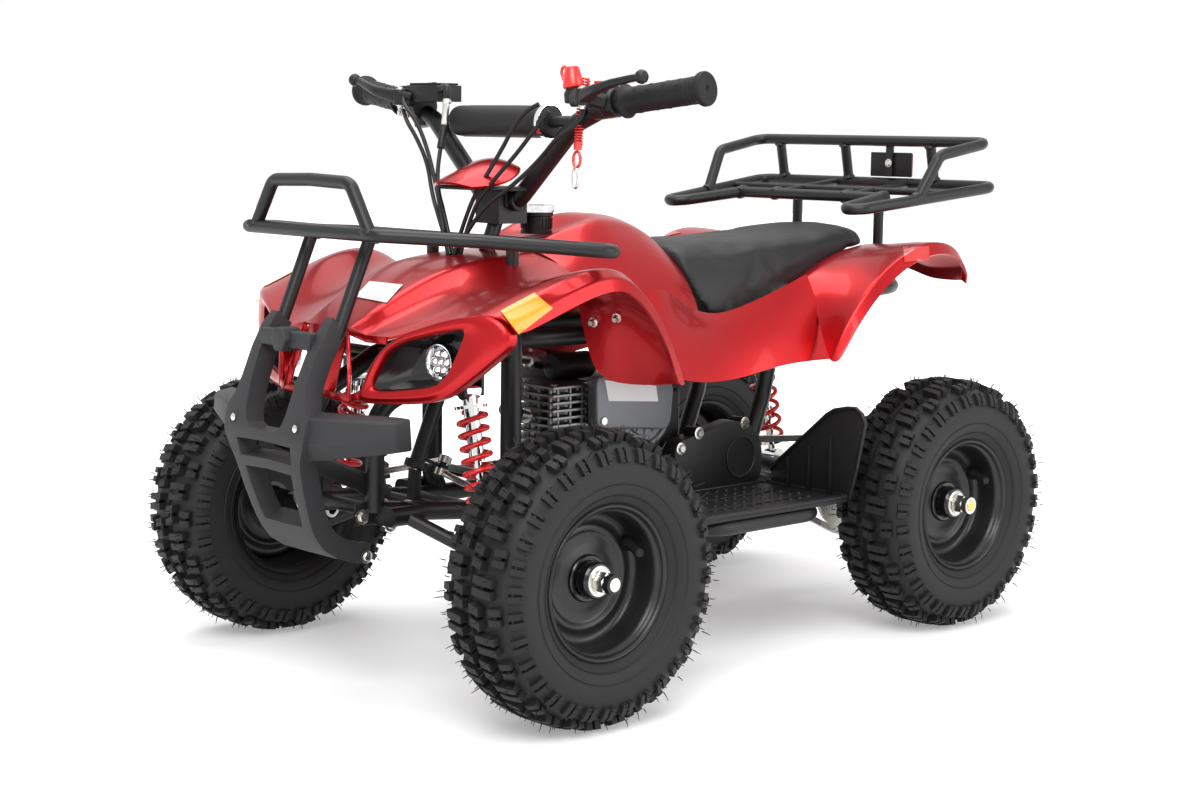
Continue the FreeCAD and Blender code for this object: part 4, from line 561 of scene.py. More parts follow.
def panel_bm(rows, creases=(), row_creases=()):
    """A moulded skin from rows of points on the left side, joined to its mirror image."""
    bm = bmesh.new()
    sharp = bm.edges.layers.float.new("crease_edge")
    for side in SIDES:
        grid = [[p and bm.verts.new(at(p[0] * side, p[1], p[2]) * MM) for p in row] for row in rows]
        for above, below in zip(grid, grid[1:]):
            for corners in zip(above, above[1:], below[1:], below):
                if all(corners):
                    bm.faces.new(corners if side > 0 else corners[::-1])
        for column, strength in creases:
            for above, below in zip(grid, grid[1:]):
                set_crease(bm, sharp, above[column], below[column], strength)
        for index, strength in row_creases:
            for first, second in zip(grid[index], grid[index][1:]):
                set_crease(bm, sharp, first, second, strength)
    bmesh.ops.remove_doubles(bm, verts=bm.verts, dist=0.05 * MM)
    return bm


def set_crease(bm, layer, first, second, strength):
    edge = bm.edges.get((first, second)) if first and second else None
    if edge:
        edge[layer] = strength


def add_panel(name, rows, replaces=(), body="chassis", creases=(), row_creases=(), levels=3):
    """A moulded panel of the red body."""
    add_piece(name, panel_bm(rows, creases, row_creases), "red", replaces, body, limit=60.0, levels=levels,
              wall=PANEL_WALL)


# Hood and front fenders: rows from front to back, each from the centre line to the flange's lower edge
HOOD_ROWS = [
    [(0, -474, 424), (44, -473, 423), (60, -471, 414), (100, -466, 414), (152, -446, 434), (202, -424, 449),
     (229, -410, 447), (241, -403, 440), (246, -400, 426)],
    [(0, -440, 447), (48, -439, 444), (67, -436, 431), (108, -427, 430), (160, -404, 449), (205, -385, 462),
     (229, -377, 460), (243, -371, 451), (248, -368, 437)],
    [(0, -390, 474), (52, -389, 470), (75, -386, 455), (116, -380, 449), (166, -362, 464), (208, -346, 477),
     (230, -340, 475), (244, -336, 465), (249, -333, 450)],
    [(0, -340, 493), (56, -340, 489), (80, -338, 475), (122, -334, 463), (170, -320, 474), (210, -306, 489),
     (231, -303, 488), (245, -299, 478), (250, -297, 463)],
    [(0, -295, 499), (58, -295, 495), (82, -294, 483), (126, -290, 470), (172, -276, 475), (210, -264, 496),
     (231, -262, 496), (246, -260, 487), (251, -259, 472)],
    [(0, -255, 503), (58, -254, 499), (82, -252, 489), (127, -246, 478), (171, -236, 470), (207, -226, 489),
     (230, -226, 490), (245, -226, 480), (249, -228, 465)],
    [(0, -216, 505), (58, -215, 501), (82, -213, 494), (128, -208, 484), (166, -205, 456), (203, -192, 452),
     (228, -191, 457), (243, -191, 449), (247, -196, 436)],
    [None, None, None, (131, -205, 440), (162, -194, 418), (200, -172, 414), (227, -167, 421),
     (242, -165, 416), (245, -172, 404)],
    [None, None, None, (136, -196, 396), (164, -182, 384), (199, -160, 381), (227, -152, 387),
     (241, -150, 385), (243, -158, 376)],
    [None, None, None, (141, -184, 358), (168, -169, 352), (199, -152, 352), (227, -139, 356),
     (239, -136, 356), (241, -146, 352)],
]
HOOD_CREASES = [(1, 0.7), (2, 0.35), (6, 0.75), (7, 0.85), (8, 1.0)]

# The face round each headlight: its outer edge and its opening's, clockwise from inside above
BEZEL_OUTER = [
    (100, -466, 414), (152, -446, 434), (202, -424, 449), (229, -410, 447), (246, -403, 420),
    (228, -414, 401), (199, -430, 373), (174, -443, 353), (146, -455, 346), (100, -473, 343),
    (62, -489, 343), (80, -481, 358), (78, -479, 373),
]
BEZEL_INNER = [
    (109, -463, 410), (150, -447, 421), (187, -431, 431), (194, -428, 430), (190, -431, 416),
    (184, -435, 399), (176, -440, 380), (167, -445, 369), (147, -454, 364), (112, -468, 359),
    (91, -477, 357), (88, -477, 365), (96, -471, 386),
]
BEZEL_BULGE = 5.0
BEZEL_LIP = 7.0
BEZEL_FLANGE = 12.0
POD_DEPTH = 34.0
LAMP_CENTRE = (146, -426, 391)
BOWL_PROFILE = [(-14.0, 4.0), (-13.0, 8.0), (-8.0, 14.0), (0.0, 18.5), (2.0, 19.0), (2.0, 20.5),
                (-10.0, 20.5), (-16.0, 8.0)]
LENS_PROFILE = [(2.0, 19.2), (5.0, 17.5), (7.6, 13.0), (9.2, 7.0), (9.8, 1.0), (8.8, 1.0), (8.0, 7.0),
                (6.4, 12.6), (4.0, 16.8), (2.0, 18.0)]


def ring_verts(bm, points, side, back=0.0):
    return [bm.verts.new(at(x * side, y + back, z) * MM) for x, y, z in points]


def between(first, second, share):
    return [tuple(p + (q - p) * share for p, q in zip(a, b)) for a, b in zip(first, second)]


def add_bezels():
    """Each headlight's red face with its rounded edges, and the black pod behind its opening."""
    face, pods = meshes(2)
    sharp = face.edges.layers.float.new("crease_edge")
    middle = tuple(sum(values) / len(BEZEL_INNER) for values in zip(*BEZEL_INNER))
    centre = [middle] * len(BEZEL_INNER)
    halfway = between(BEZEL_OUTER, BEZEL_INNER, 0.5)
    face_steps = ((BEZEL_OUTER, BEZEL_FLANGE), (BEZEL_OUTER, 0.0), (halfway, -BEZEL_BULGE),
                  (BEZEL_INNER, 0.0), (BEZEL_INNER, BEZEL_LIP))
    pod_steps = ((0.0, BEZEL_LIP - 1.0), (0.06, POD_DEPTH * 0.5), (0.3, POD_DEPTH), (0.9, POD_DEPTH))
    for side in SIDES:
        rings = [ring_verts(face, points, side, back) for points, back in face_steps]
        join_rings(face, rings, caps=False)
        for ring, strength in ((rings[1], 0.6), (rings[3], 0.8)):
            for first, second in zip(ring, ring[1:] + ring[:1]):
                set_crease(face, sharp, first, second, strength)
        pod = [ring_verts(pods, between(BEZEL_INNER, centre, share), side, back) for share, back in pod_steps]
        join_rings(pods, pod, caps=False)
        pods.faces.new(pod[-1])
    add_piece("headlight_faces", face, "red", ["front_fascia"], limit=60.0, levels=2)
    add_piece("headlight_pods", pods, "gloss_black", ["headlights"], limit=40.0, wall=1.5)


def add_lamps():
    """A round bowl with seven small reflectors in each pod, under a domed lens."""
    bowls, lenses = meshes(2)
    for side in SIDES:
        out = Vector((0.12 * side, -1, 0)).normalized()
        centre = at(LAMP_CENTRE[0] * side, *LAMP_CENTRE[1:])
        lathe(bowls, BOWL_PROFILE, centre, 40, out, closed=True)
        for turn in range(6):
            angle = math.radians(60 * turn)
            spot = centre + Vector((math.cos(angle) * 10.5, -1.0, math.sin(angle) * 10.5))
            lathe(bowls, [(-8.0, 5.6), (-2.0, 5.2), (0.0, 3.4), (0.6, 1.0)], spot, 14, out)
        lathe(bowls, [(-8.0, 5.0), (-1.0, 4.6), (1.0, 2.4), (1.4, 0.6)], centre, 14, out)
        lathe(lenses, LENS_PROFILE, centre, 48, out, closed=True)
    add_piece("lamp_bowls", bowls, "reflector", ["lamps"])
    add_piece("lamp_lenses", lenses, "lamp")


# The nose between the headlights: a plate in the middle, a low bar and two slats each side
NOSE_ROWS = [
    [(0, -474, 424), (22, -474, 424), (40, -473, 422)],
    [(0, -480, 410), (22, -479, 409), (37, -474, 406)],
    [(0, -486, 385), (20, -485, 384), (33, -478, 382)],
    [(0, -488, 362), (18, -487, 361), (28, -480, 360)],
    [(0, -488, 348), (17, -487, 348), (26, -480, 348)],
]
NOSE_BARS = [
    [(0, -484, 349), (34, -487, 347), (64, -487, 347), (74, -484, 351)],
    [(40, -473, 418), (48, -477, 396), (56, -482, 372), (60, -486, 350)],
    [(44, -472, 420), (72, -470, 414), (100, -465, 414)],
]


def add_nose():
    add_panel("nose_plate", NOSE_ROWS, creases=[(1, 0.6)], levels=2)
    bm = bmesh.new()
    for side in SIDES:
        for line in NOSE_BARS:
            points = mirrored(line, side)
            for start, end in zip(points, points[1:]):
                run = end - start
                turn = run.to_track_quat("X", "Z").to_matrix()
                box(bm, (start + end) / 2, (run.length + 4.0, 4.0, 9.0), turn)
    add_piece("nose_slats", bm, "red", bevel=1.2)


# Tank cover, side panels, rear fender and bar cover, as shares, in the same places as their solids
TANK_ROWS = [
    [(0.0, -0.207, 1.012), (0.05, -0.207, 1.012), (0.09, -0.206, 1.008), (0.16, -0.203, 0.99),
     (0.22, -0.2, 0.956), (0.27, -0.19, 0.88)],
    [(0.0, -0.19, 1.028), (0.05, -0.189, 1.03), (0.098, -0.186, 1.036), (0.164, -0.18, 1.006),
     (0.226, -0.176, 0.95), (0.266, -0.17, 0.87)],
    [(0.0, -0.16, 1.03), (0.052, -0.16, 1.034), (0.104, -0.158, 1.064), (0.168, -0.154, 1.016),
     (0.222, -0.15, 0.948), (0.258, -0.146, 0.866)],
    [(0.0, -0.13, 1.036), (0.05, -0.13, 1.046), (0.106, -0.126, 1.078), (0.17, -0.122, 1.02),
     (0.22, -0.118, 0.944), (0.248, -0.116, 0.858)],
    [(0.0, -0.106, 1.09), (0.05, -0.106, 1.092), (0.106, -0.102, 1.078), (0.17, -0.098, 1.018),
     (0.217, -0.094, 0.938), (0.24, -0.09, 0.85)],
    [(0.0, -0.056, 1.088), (0.05, -0.055, 1.088), (0.104, -0.053, 1.066), (0.168, -0.048, 1.002),
     (0.212, -0.044, 0.912), (0.232, -0.042, 0.84)],
    [(0.0, -0.018, 1.056), (0.05, -0.017, 1.054), (0.102, -0.014, 1.034), (0.17, -0.008, 0.972),
     (0.21, -0.004, 0.886), (0.226, -0.002, 0.832)],
    [(0.0, 0.012, 1.006), (0.05, 0.012, 1.004), (0.1, 0.013, 0.99), (0.17, 0.014, 0.94),
     (0.208, 0.016, 0.87), (0.222, 0.018, 0.826)],
]
SIDE_ROWS = [
    [(0.285, -0.17, 0.84), (0.27, -0.13, 0.856), (0.256, -0.08, 0.94), (0.25, -0.03, 0.87),
     (0.246, 0.028, 0.832), (0.246, 0.09, 0.86), (0.25, 0.14, 0.89), (0.254, 0.196, 0.93)],
    [(0.31, -0.168, 0.815), (0.295, -0.13, 0.83), (0.285, -0.08, 0.88), (0.276, -0.03, 0.83),
     (0.272, 0.03, 0.808), (0.276, 0.09, 0.83), (0.28, 0.14, 0.852), (0.284, 0.196, 0.876)],
    [(0.34, -0.163, 0.785), (0.33, -0.13, 0.795), (0.318, -0.08, 0.81), (0.306, -0.03, 0.785),
     (0.302, 0.035, 0.764), (0.31, 0.09, 0.776), (0.316, 0.14, 0.79), (0.32, 0.196, 0.8)],
    [(0.36, -0.156, 0.752), (0.348, -0.125, 0.75), (0.336, -0.08, 0.746), (0.328, -0.03, 0.724),
     (0.326, 0.03, 0.712), (0.332, 0.09, 0.73), (0.337, 0.14, 0.74), (0.341, 0.196, 0.742)],
    [(0.366, -0.152, 0.74), (0.354, -0.122, 0.73), (0.342, -0.08, 0.7), (0.336, -0.035, 0.684),
     (0.336, 0.028, 0.684), (0.34, 0.09, 0.708), (0.344, 0.14, 0.716), (0.348, 0.196, 0.716)],
]
REAR_ROWS = [
    [(0.0, 0.198, 0.88), (0.12, 0.198, 0.882), (0.236, 0.198, 0.904), (0.306, 0.19, 0.83),
     (0.36, 0.176, 0.75), (0.396, 0.166, 0.72), (0.418, 0.17, 0.712)],
    [(0.0, 0.218, 0.904), (0.12, 0.218, 0.906), (0.226, 0.217, 0.928), (0.306, 0.207, 0.892),
     (0.37, 0.192, 0.836), (0.412, 0.182, 0.808), (0.432, 0.188, 0.786)],
    [(0.0, 0.245, 0.93), (0.12, 0.245, 0.932), (0.216, 0.245, 0.95), (0.304, 0.24, 0.946),
     (0.384, 0.222, 0.918), (0.432, 0.211, 0.896), (0.45, 0.216, 0.87)],
    [(0.0, 0.285, 0.952), (0.12, 0.285, 0.954), (0.208, 0.285, 0.98), (0.3, 0.283, 0.988),
     (0.396, 0.27, 0.984), (0.448, 0.256, 0.972), (0.465, 0.258, 0.944)],
    [(0.0, 0.328, 0.966), (0.12, 0.328, 0.968), (0.2, 0.328, 0.996), (0.3, 0.33, 1.008),
     (0.4, 0.318, 1.018), (0.456, 0.306, 1.014), (0.472, 0.307, 0.984)],
    [(0.0, 0.37, 0.976), (0.12, 0.37, 0.978), (0.194, 0.37, 1.0), (0.3, 0.372, 0.998), (0.4, 0.362, 1.014),
     (0.458, 0.352, 1.018), (0.473, 0.353, 0.988)],
    [(0.0, 0.412, 0.97), (0.12, 0.412, 0.972), (0.19, 0.41, 0.988), (0.296, 0.408, 0.974),
     (0.392, 0.4, 0.984), (0.446, 0.391, 0.99), (0.46, 0.392, 0.964)],
    [(0.0, 0.44, 0.948), (0.12, 0.44, 0.95), (0.186, 0.436, 0.96), (0.29, 0.43, 0.936),
     (0.38, 0.422, 0.938), (0.426, 0.414, 0.944), (0.438, 0.416, 0.922)],
    [(0.0, 0.448, 0.93), (0.12, 0.448, 0.93), (0.186, 0.443, 0.93), (0.29, 0.436, 0.905),
     (0.378, 0.428, 0.905), (0.42, 0.418, 0.908), (0.43, 0.42, 0.9)],
]
COVER_ROWS = [
    [(0.0, -0.304, 1.168), (0.04, -0.302, 1.166), (0.074, -0.292, 1.158)],
    [(0.0, -0.285, 1.196), (0.046, -0.282, 1.182), (0.104, -0.272, 1.162)],
    [(0.0, -0.262, 1.214), (0.05, -0.26, 1.198), (0.122, -0.25, 1.178)],
    [(0.0, -0.24, 1.226), (0.056, -0.24, 1.216), (0.112, -0.234, 1.2)],
    [(0.0, -0.229, 1.228), (0.05, -0.229, 1.218), (0.1, -0.228, 1.204)],
]


def placed_rows(rows):
    return [[placed(shares) for shares in row] for row in rows]


def add_body():
    add_panel("hood_and_fenders", HOOD_ROWS, ["front_body"], creases=HOOD_CREASES)
    add_bezels()
    add_lamps()
    add_nose()
    add_panel("tank_cover_shell", placed_rows(TANK_ROWS), ["tank_cover"], creases=[(2, 0.4)],
              row_creases=[(4, 0.3)])
    add_panel("side_panel_shells", placed_rows(SIDE_ROWS), ["side_panels"], creases=[(0, 1.0), (7, 1.0)],
              row_creases=[(0, 1.0), (1, 0.3), (4, 1.0)])
    add_panel("rear_fender_shell", placed_rows(REAR_ROWS), ["rear_fender"],
              creases=[(2, 0.5), (3, 0.3), (5, 0.8), (6, 1.0)], row_creases=[(7, 0.6), (8, 1.0)])
    add_panel("bar_cover_shell", placed_rows(COVER_ROWS), ["bar_cover"], "steering", [(1, 0.6), (2, 1.0)],
              [(0, 1.0)])


# Seat: stations from front to back as y, crown height, and half width and height of the crease and the skirt
SEAT_STATIONS = [
    (14, 505, 74, 490, 84, 474), (24, 508, 80, 490, 100, 440), (40, 508, 84, 490, 108, 416),
    (60, 508, 87, 491, 109, 411), (90, 507, 89, 493, 108, 415), (130, 507, 91, 497, 107, 424),
    (180, 508, 92, 502, 105, 439), (240, 512, 92, 506, 101, 460), (300, 518, 91, 511, 97, 482),
    (332, 521, 90, 512, 93, 493), (355, 521, 84, 510, 86, 494), (371, 518, 72, 506, 74, 494),
    (381, 508, 58, 501, 60, 495),
]
SEAT_SWELL = 4.0
SEAT_VOXEL = 5.0
PAD_SWELL = 1.5
PAD_VOXEL = 3.0


def seat_ring(station):
    """A ring from the crown over the crease to the skirt, with its mirror image."""
    y, crown, crease_x, crease_z, skirt_x, skirt_z = station
    drop = crown - crease_z
    half = [
        (0, crown), (crease_x * 0.5, crown - drop * 0.22), (crease_x * 0.85, crease_z + drop * 0.35),
        (crease_x, crease_z - 3), ((crease_x + skirt_x) / 2 + 1, (crease_z + skirt_z) / 2),
        (skirt_x, skirt_z), (skirt_x * 0.8, skirt_z + 2),
    ]
    right = [at(-x, y, z) for x, z in half[1:]]
    return [at(x, y, z) for x, z in half] + right[::-1]


def puffed(name, bm, material, replaces, body, swell, voxel):
    """A stuffed piece: its shape is remeshed, swollen by air pressure within a limit, and smoothed."""
    piece = link(name, mesh_of(name, bm), material, replaces, body)
    grid = piece.modifiers.new("grid", "REMESH")
    grid.mode = "VOXEL"
    grid.voxel_size = voxel * MM
    apply_modifiers(piece)
    swell_by_air(piece, swell * MM)
    add_surface(piece, 1)
    smooth = piece.modifiers.new("smooth", "CORRECTIVE_SMOOTH")
    smooth.iterations = 8
    smooth.use_only_smooth = True
    smooth.rest_source = "ORCO"
    apply_modifiers(piece)
    smooth_by_angle(piece.data, 60.0)


AIR_FRAMES = 20


def swell_by_air(piece, most):
    """Lets air pressure move a piece's surface, by no more than a distance."""
    rest = [vertex.co.copy() for vertex in piece.data.vertices]
    cloth = piece.modifiers.new("air", "CLOTH")
    cloth.settings.quality = 5
    cloth.settings.mass = 0.3
    cloth.settings.tension_stiffness = cloth.settings.compression_stiffness = 40
    cloth.settings.use_pressure = True
    cloth.settings.uniform_pressure_force = 4
    cloth.settings.effector_weights.gravity = 0
    scene = bpy.context.scene
    for frame_number in range(1, AIR_FRAMES + 1):
        scene.frame_set(frame_number)
    graph = bpy.context.evaluated_depsgraph_get()
    swollen = [vertex.co.copy() for vertex in piece.evaluated_get(graph).data.vertices]
    piece.modifiers.clear()
    scene.frame_set(1)
    for vertex, before, after in zip(piece.data.vertices, rest, swollen):
        move = after - before
        vertex.co = before + move * min(1.0, most / max(move.length, 1e-9))


def add_seat():
    bm = bmesh.new()
    loft(bm, [seat_ring(station) for station in SEAT_STATIONS])
    puffed("seat_cushion", bm, "vinyl", ["seat"], "chassis", SEAT_SWELL, SEAT_VOXEL)


# Handlebar: places from the middle of the wheelbase
PAD_CENTRE = (0, -213, 656)
PAD_PROFILE = [(-88, 7.4), (-88, 16.5), (-86, 18.6), (-80, 19.0), (0, 19.2), (80, 19.0), (86, 18.6),
               (88, 16.5), (88, 7.4)]
GRIP_START = (204.4, -206.7, 679.6)
GRIP_END = (317.9, -187.3, 694.5)
GRIP_PROFILE = [
    (0, 12.4), (0, 18.0), (1.2, 19.4), (4, 19.5), (5.2, 18.6), (8, 16.4), (11, 15.4), (30, 15.2), (90, 15.4),
    (92, 15.4), (92.8, 14.7), (94.4, 14.7), (95.2, 15.6), (97.6, 15.6), (98.4, 14.8), (100, 14.8),
    (100.8, 15.8), (104, 16.2), (107, 18.6), (109, 19.5), (113, 19.5), (115, 18.4), (115.4, 15.0),
    (114.6, 13.6), (114.6, 4.0), (112.4, 2.6),
]
LEVER_ROUTE = [
    (150, -236, 681), (178, -244, 686), (204, -252, 692), (228, -250, 699), (250, -242, 704),
    (266, -240, 706),
]
LEVER_HALF_WIDTHS = [6.5, 6.5, 5.5, 5.0, 4.6, 4.4]
LEVER_HALF_HEIGHTS = [8.5, 8.0, 6.0, 4.6, 4.2, 4.0]
LEVER_BALL = [(-7.2, 2.0), (-6.4, 4.6), (-4, 7.0), (0, 8.2), (4, 7.0), (6.4, 4.6), (7.2, 2.0)]
PERCH_ARM = [(172, -232, 683), (160, -240, 682)]
PIVOT = (170, -240, 684)
PIVOT_HALF_HEIGHT = 9.5
PERCH_SHIFT = -17
PERCH_CLAMP = [(-8, 11.6), (-8, 16.0), (-7, 16.6), (7, 16.6), (8, 16.0), (8, 11.6)]


def along_grip(distance, side, out=0.0, angle=0.0):
    """A point on the grip, measured from its inner end, the outward direction there and the grip's own."""
    start, end = Vector(GRIP_START), Vector(GRIP_END)
    axis = (end - start).normalized()
    up = (Z_AXIS - axis * Z_AXIS.dot(axis)).normalized()
    lean = up * math.cos(angle) + axis.cross(up) * math.sin(angle)
    point = start + axis * distance + lean * out
    return at(point.x * side, point.y, point.z), mirror_x(lean, side), mirror_x(axis, side)


def add_grips():
    """Ribbed sleeves with staggered rows of round dimples."""
    bm = bmesh.new()
    for side in SIDES:
        centre, _, axis = along_grip(0, side)
        lathe(bm, GRIP_PROFILE, centre, 44, axis)
        for row in range(4):
            for step in range(8):
                angle = math.radians(45 * step + 22.5 * (row % 2))
                spot, out, _ = along_grip(22 + row * 20, side, 14.9, angle)
                lathe(bm, [(0.0, 2.7), (0.7, 2.5), (0.7, 1.5), (0.35, 1.3)], spot, 12, out)
    add_piece("rubber_grips", bm, "rubber", ["grips"], "steering", limit=30.0)


def add_levers():
    """Lever blades with ball ends, on perches clamped round the bar."""
    blades, perches, screws = meshes(3)
    for side in SIDES:
        route = mirrored(LEVER_ROUTE, side)
        strap(blades, route, LEVER_HALF_WIDTHS, LEVER_HALF_HEIGHTS)
        lathe(blades, LEVER_BALL, route[-1], 24, Vector((side, 0.1, 0.05)).normalized())
        centre, _, axis = along_grip(PERCH_SHIFT, side)
        lathe(perches, PERCH_CLAMP, centre, 32, axis)
        clamp_route = [centre + Vector((0, -10, 1))] + mirrored(PERCH_ARM, side)
        strap(perches, clamp_route, [9.0, 8.5, 8.0], [9.0, 9.0, 8.0])
        pivot = mirrored([PIVOT], side)[0]
        lathe(perches, [(-PIVOT_HALF_HEIGHT, 9.5), (PIVOT_HALF_HEIGHT, 9.5)], pivot, 28, Z_AXIS)
        bolt(screws, pivot + Vector((0, 0, PIVOT_HALF_HEIGHT)), Z_AXIS, 4.0, 3.2)
        bolt(screws, pivot - Vector((0, 0, PIVOT_HALF_HEIGHT)), -Z_AXIS, 3.6, 4.0)
        for drop in (-7, 7):
            bolt(screws, centre + Vector((0, 15, drop)), Y_AXIS, 3.0, 3.0)
    add_piece("lever_blades", blades, "plastic", ["levers"], "steering", limit=40.0, bevel=1.0)
    add_piece("lever_perches", perches, "plastic", (), "steering", bevel=1.2)
    add_piece("lever_screws", screws, "zinc", (), "steering")


# Throttle box on the right: its plan outline, seen from above, from a corner near the grip
THROTTLE_PLAN = [(-178, -196), (-176, -226), (-160, -238), (-126, -240), (-104, -234), (-96, -220),
                 (-98, -200), (-116, -190), (-150, -188)]
THROTTLE_FLOOR = 679.0
THROTTLE_RISE = 20.0
LID_HEIGHT = 2.4
BOX_CLAMP = [(-14, 11.6), (-14, 17.0), (14, 17.0), (14, 11.6)]
CLAMP_SHIFTS = (-30, -17)
ELBOW_ROUTE = [(-100, -232, 694), (-84, -236, 697), (-78, -238, 694), (-78, -239, 682)]
ADJUSTER_ROUTE = [(-78, -239, 684), (-80, -241, 650), (-76, -250, 622)]


def add_throttle():
    """The throttle's box with its lid, its clamps on the bar, and the elbow and adjuster of its cable."""
    lid, metal = meshes(2)
    floor = [at(x, y, THROTTLE_FLOOR) for x, y in THROTTLE_PLAN]
    prism(lid, floor, Vector((0, 0, THROTTLE_RISE)))
    middle = sum(floor, Vector()) / len(floor)
    cap = [middle + (p - middle) * 0.88 + Vector((0, 0, THROTTLE_RISE + 0.4)) for p in floor]
    prism(lid, cap, Vector((0, 0, LID_HEIGHT)))
    for share in (0.1, 0.45, 0.8):
        spot = cap[0] * (1 - share) + cap[4] * share + Vector((0, 0, LID_HEIGHT))
        lathe(lid, [(0.0, 3.0), (1.0, 2.8), (1.0, 1.0)], spot, 14, Z_AXIS)
    centre, _, axis = along_grip(-42, -1)
    lathe(lid, BOX_CLAMP, centre, 32, axis)
    neck = [centre + Vector((0, 2, 4)), centre + Vector((6, 0, -26))]
    strap(lid, neck, [11.0, 9.0], [12.0, 9.0], Y_AXIS)
    tube(lid, rounded_points(mirrored(ELBOW_ROUTE, 1), 8.0), 4.6, 16)
    adjuster = mirrored(ADJUSTER_ROUTE, 1)
    rod(metal, adjuster[0], adjuster[1], 4.2, 20)
    lathe(metal, [(0, 5.6), (5, 5.6)], adjuster[0] + Vector((0, 0, -8)), 6, Z_AXIS)
    rod(lid, adjuster[1], adjuster[2], 4.8, 18)
    for shift in CLAMP_SHIFTS:
        spot = along_grip(shift, -1)[0]
        for reach in (-1, 1):
            box(metal, spot + Vector((0, 15.5 * reach, 0)), (11, 3.0, 34))
            for rise in (-12, 12):
                bolt(metal, spot + Vector((0, 17.0 * reach, rise)), Vector((0, reach, 0)), 3.4, 3.4)
        for rise in (-12, 12):
            rod(metal, spot + Vector((0, -17, rise)), spot + Vector((0, 17, rise)), 2.2, 12)
    add_piece("throttle_box", lid, "plastic", ["throttle_housing"], "steering", bevel=2.0, segments=3)
    add_piece("throttle_clamps", metal, "zinc", (), "steering", bevel=0.6)


CUTOFF_FOOT = (142, -228, 690)
CUTOFF_CAP = [(4, 9.6), (5, 12.2), (8, 12.4), (20, 10.0), (27, 8.6), (29, 7.2), (29, 2.0)]
# The cap's loop: distances up the cap, and moves to the side and up from there
CUTOFF_LOOP = [(27, -6, -2), (29, -14, 2), (24, -19, -1), (14, -16, 0), (10, -11, 0)]


def add_switches():
    """The switch block on the left with its red button, and the engine cut-off with its red pull cap."""
    black, red = meshes(2)
    ring_at, _, axis = along_grip(-34, 1)
    lathe(black, [(-9, 11.6), (-9, 16.4), (9, 16.4), (9, 11.6)], ring_at, 32, axis)
    box(black, ring_at + Vector((-2, 4, 10)), (34, 30, 24))
    box(red, ring_at + Vector((0, 2, 24.5)), (17, 12, 6))
    foot = at(*CUTOFF_FOOT)
    lean = Vector((-0.16, 0, 1)).normalized()
    strap(black, [ring_at + Vector((-14, -6, 0)), foot + Vector((0, 0, -2))], [11.0, 10.0], [9.0, 8.0])
    lathe(black, [(-12, 12.0), (0, 12.0), (2, 10.0), (6, 9.0)], foot, 28, lean)
    lathe(red, CUTOFF_CAP, foot, 32, lean)
    loop = [foot + lean * height + Vector((x, 0, z)) for height, x, z in CUTOFF_LOOP]
    tube(red, rounded_points(loop, 6.0), 1.9, 10)
    add_piece("switch_block", black, "plastic", ["kill_switch"], "steering", bevel=2.0, segments=3)
    add_piece("switch_buttons", red, "red_plastic", (), "steering", bevel=1.0)


def add_pad():
    """The foam roll on the bar, with its seam and the bright ring at its left end."""
    pad, seam, ring = meshes(3)
    centre = at(*PAD_CENTRE)
    lathe(pad, PAD_PROFILE, centre, 40)
    puffed("foam_bar_pad", pad, "foam", ["bar_pad"], "steering", PAD_SWELL, PAD_VOXEL)
    strap(seam, [centre + Vector((x, 8, -18.4)) for x in (-84, 84)], 3.0, 1.0)
    lathe(ring, [(78, 19.6), (78, 20.4), (85, 20.4), (85, 19.6)], centre, 40, closed=True)
    add_piece("pad_closure", seam, "foam", (), "steering")
    add_piece("pad_ring", ring, "chrome", (), "steering")


# Control cables: points along each one, from its fitting down to the steering head
CABLE_RADIUS = 2.6
CABLES = {
    "brake_cable_right": [(-160, -244, 684), (-134, -262, 674), (-108, -260, 652), (-84, -262, 616),
                          (-56, -272, 576), (-26, -288, 545), (-8, -292, 498)],
    "rear_cable_right": [(-164, -240, 668), (-138, -256, 656), (-112, -260, 636), (-86, -262, 604),
                         (-62, -274, 568), (-26, -291, 538), (-2, -293, 498)],
    "throttle_cable": [(-76, -250, 622), (-72, -258, 600), (-50, -274, 570), (-22, -286, 545),
                       (-5, -287, 498)],
    "clutch_cable_left": [(92, -238, 676), (76, -246, 668), (62, -252, 648), (50, -256, 626), (34, -270, 590),
                          (18, -284, 552), (4, -292, 498)],
    "brake_cable_left": [(112, -240, 668), (96, -248, 646), (74, -256, 618), (50, -272, 586), (26, -284, 552),
                         (8, -286, 498)],
    "switch_cable": [(160, -222, 680), (154, -228, 656), (124, -240, 636), (100, -240, 614), (72, -258, 582),
                     (36, -284, 550), (1, -288, 498)],
}


def cable(name, points, radius, material):
    """A free line as one smooth spline that rides on the steering."""
    curve = bpy.data.curves.new(name, "CURVE")
    curve.dimensions = "3D"
    curve.bevel_depth = radius * MM
    curve.bevel_resolution = 4
    curve.use_fill_caps = True
    spline = curve.splines.new("NURBS")
    spline.points.add(len(points) - 1)
    for target, point in zip(spline.points, points):
        target.co = (point * MM).to_4d()
    spline.order_u = 3
    spline.use_endpoint_u = True
    spline.resolution_u = 12
    piece = bpy.data.objects.new(name, curve)
    bpy.context.scene.collection.objects.link(piece)
    curve.materials.append(MATERIALS[material])
    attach(piece, "steering")
    return piece


def spline_line(points):
    """The points that a smooth line through given control points runs along."""
    piece = cable("line", points, 0.0, "plastic")
    mesh = bpy.data.meshes.new_from_object(piece)
    line = [vertex.co / MM for vertex in mesh.vertices]
    bpy.data.objects.remove(piece)
    return line


def length_of(points):
    return sum((after - before).length for before, after in zip(points, points[1:]))


def add_cables():
    for name, route in CABLES.items():
        points = [at(*point) for point in route]
        piece = cable(name, points, CABLE_RADIUS, "cable")
        length_of(spline_line(points)) * MM


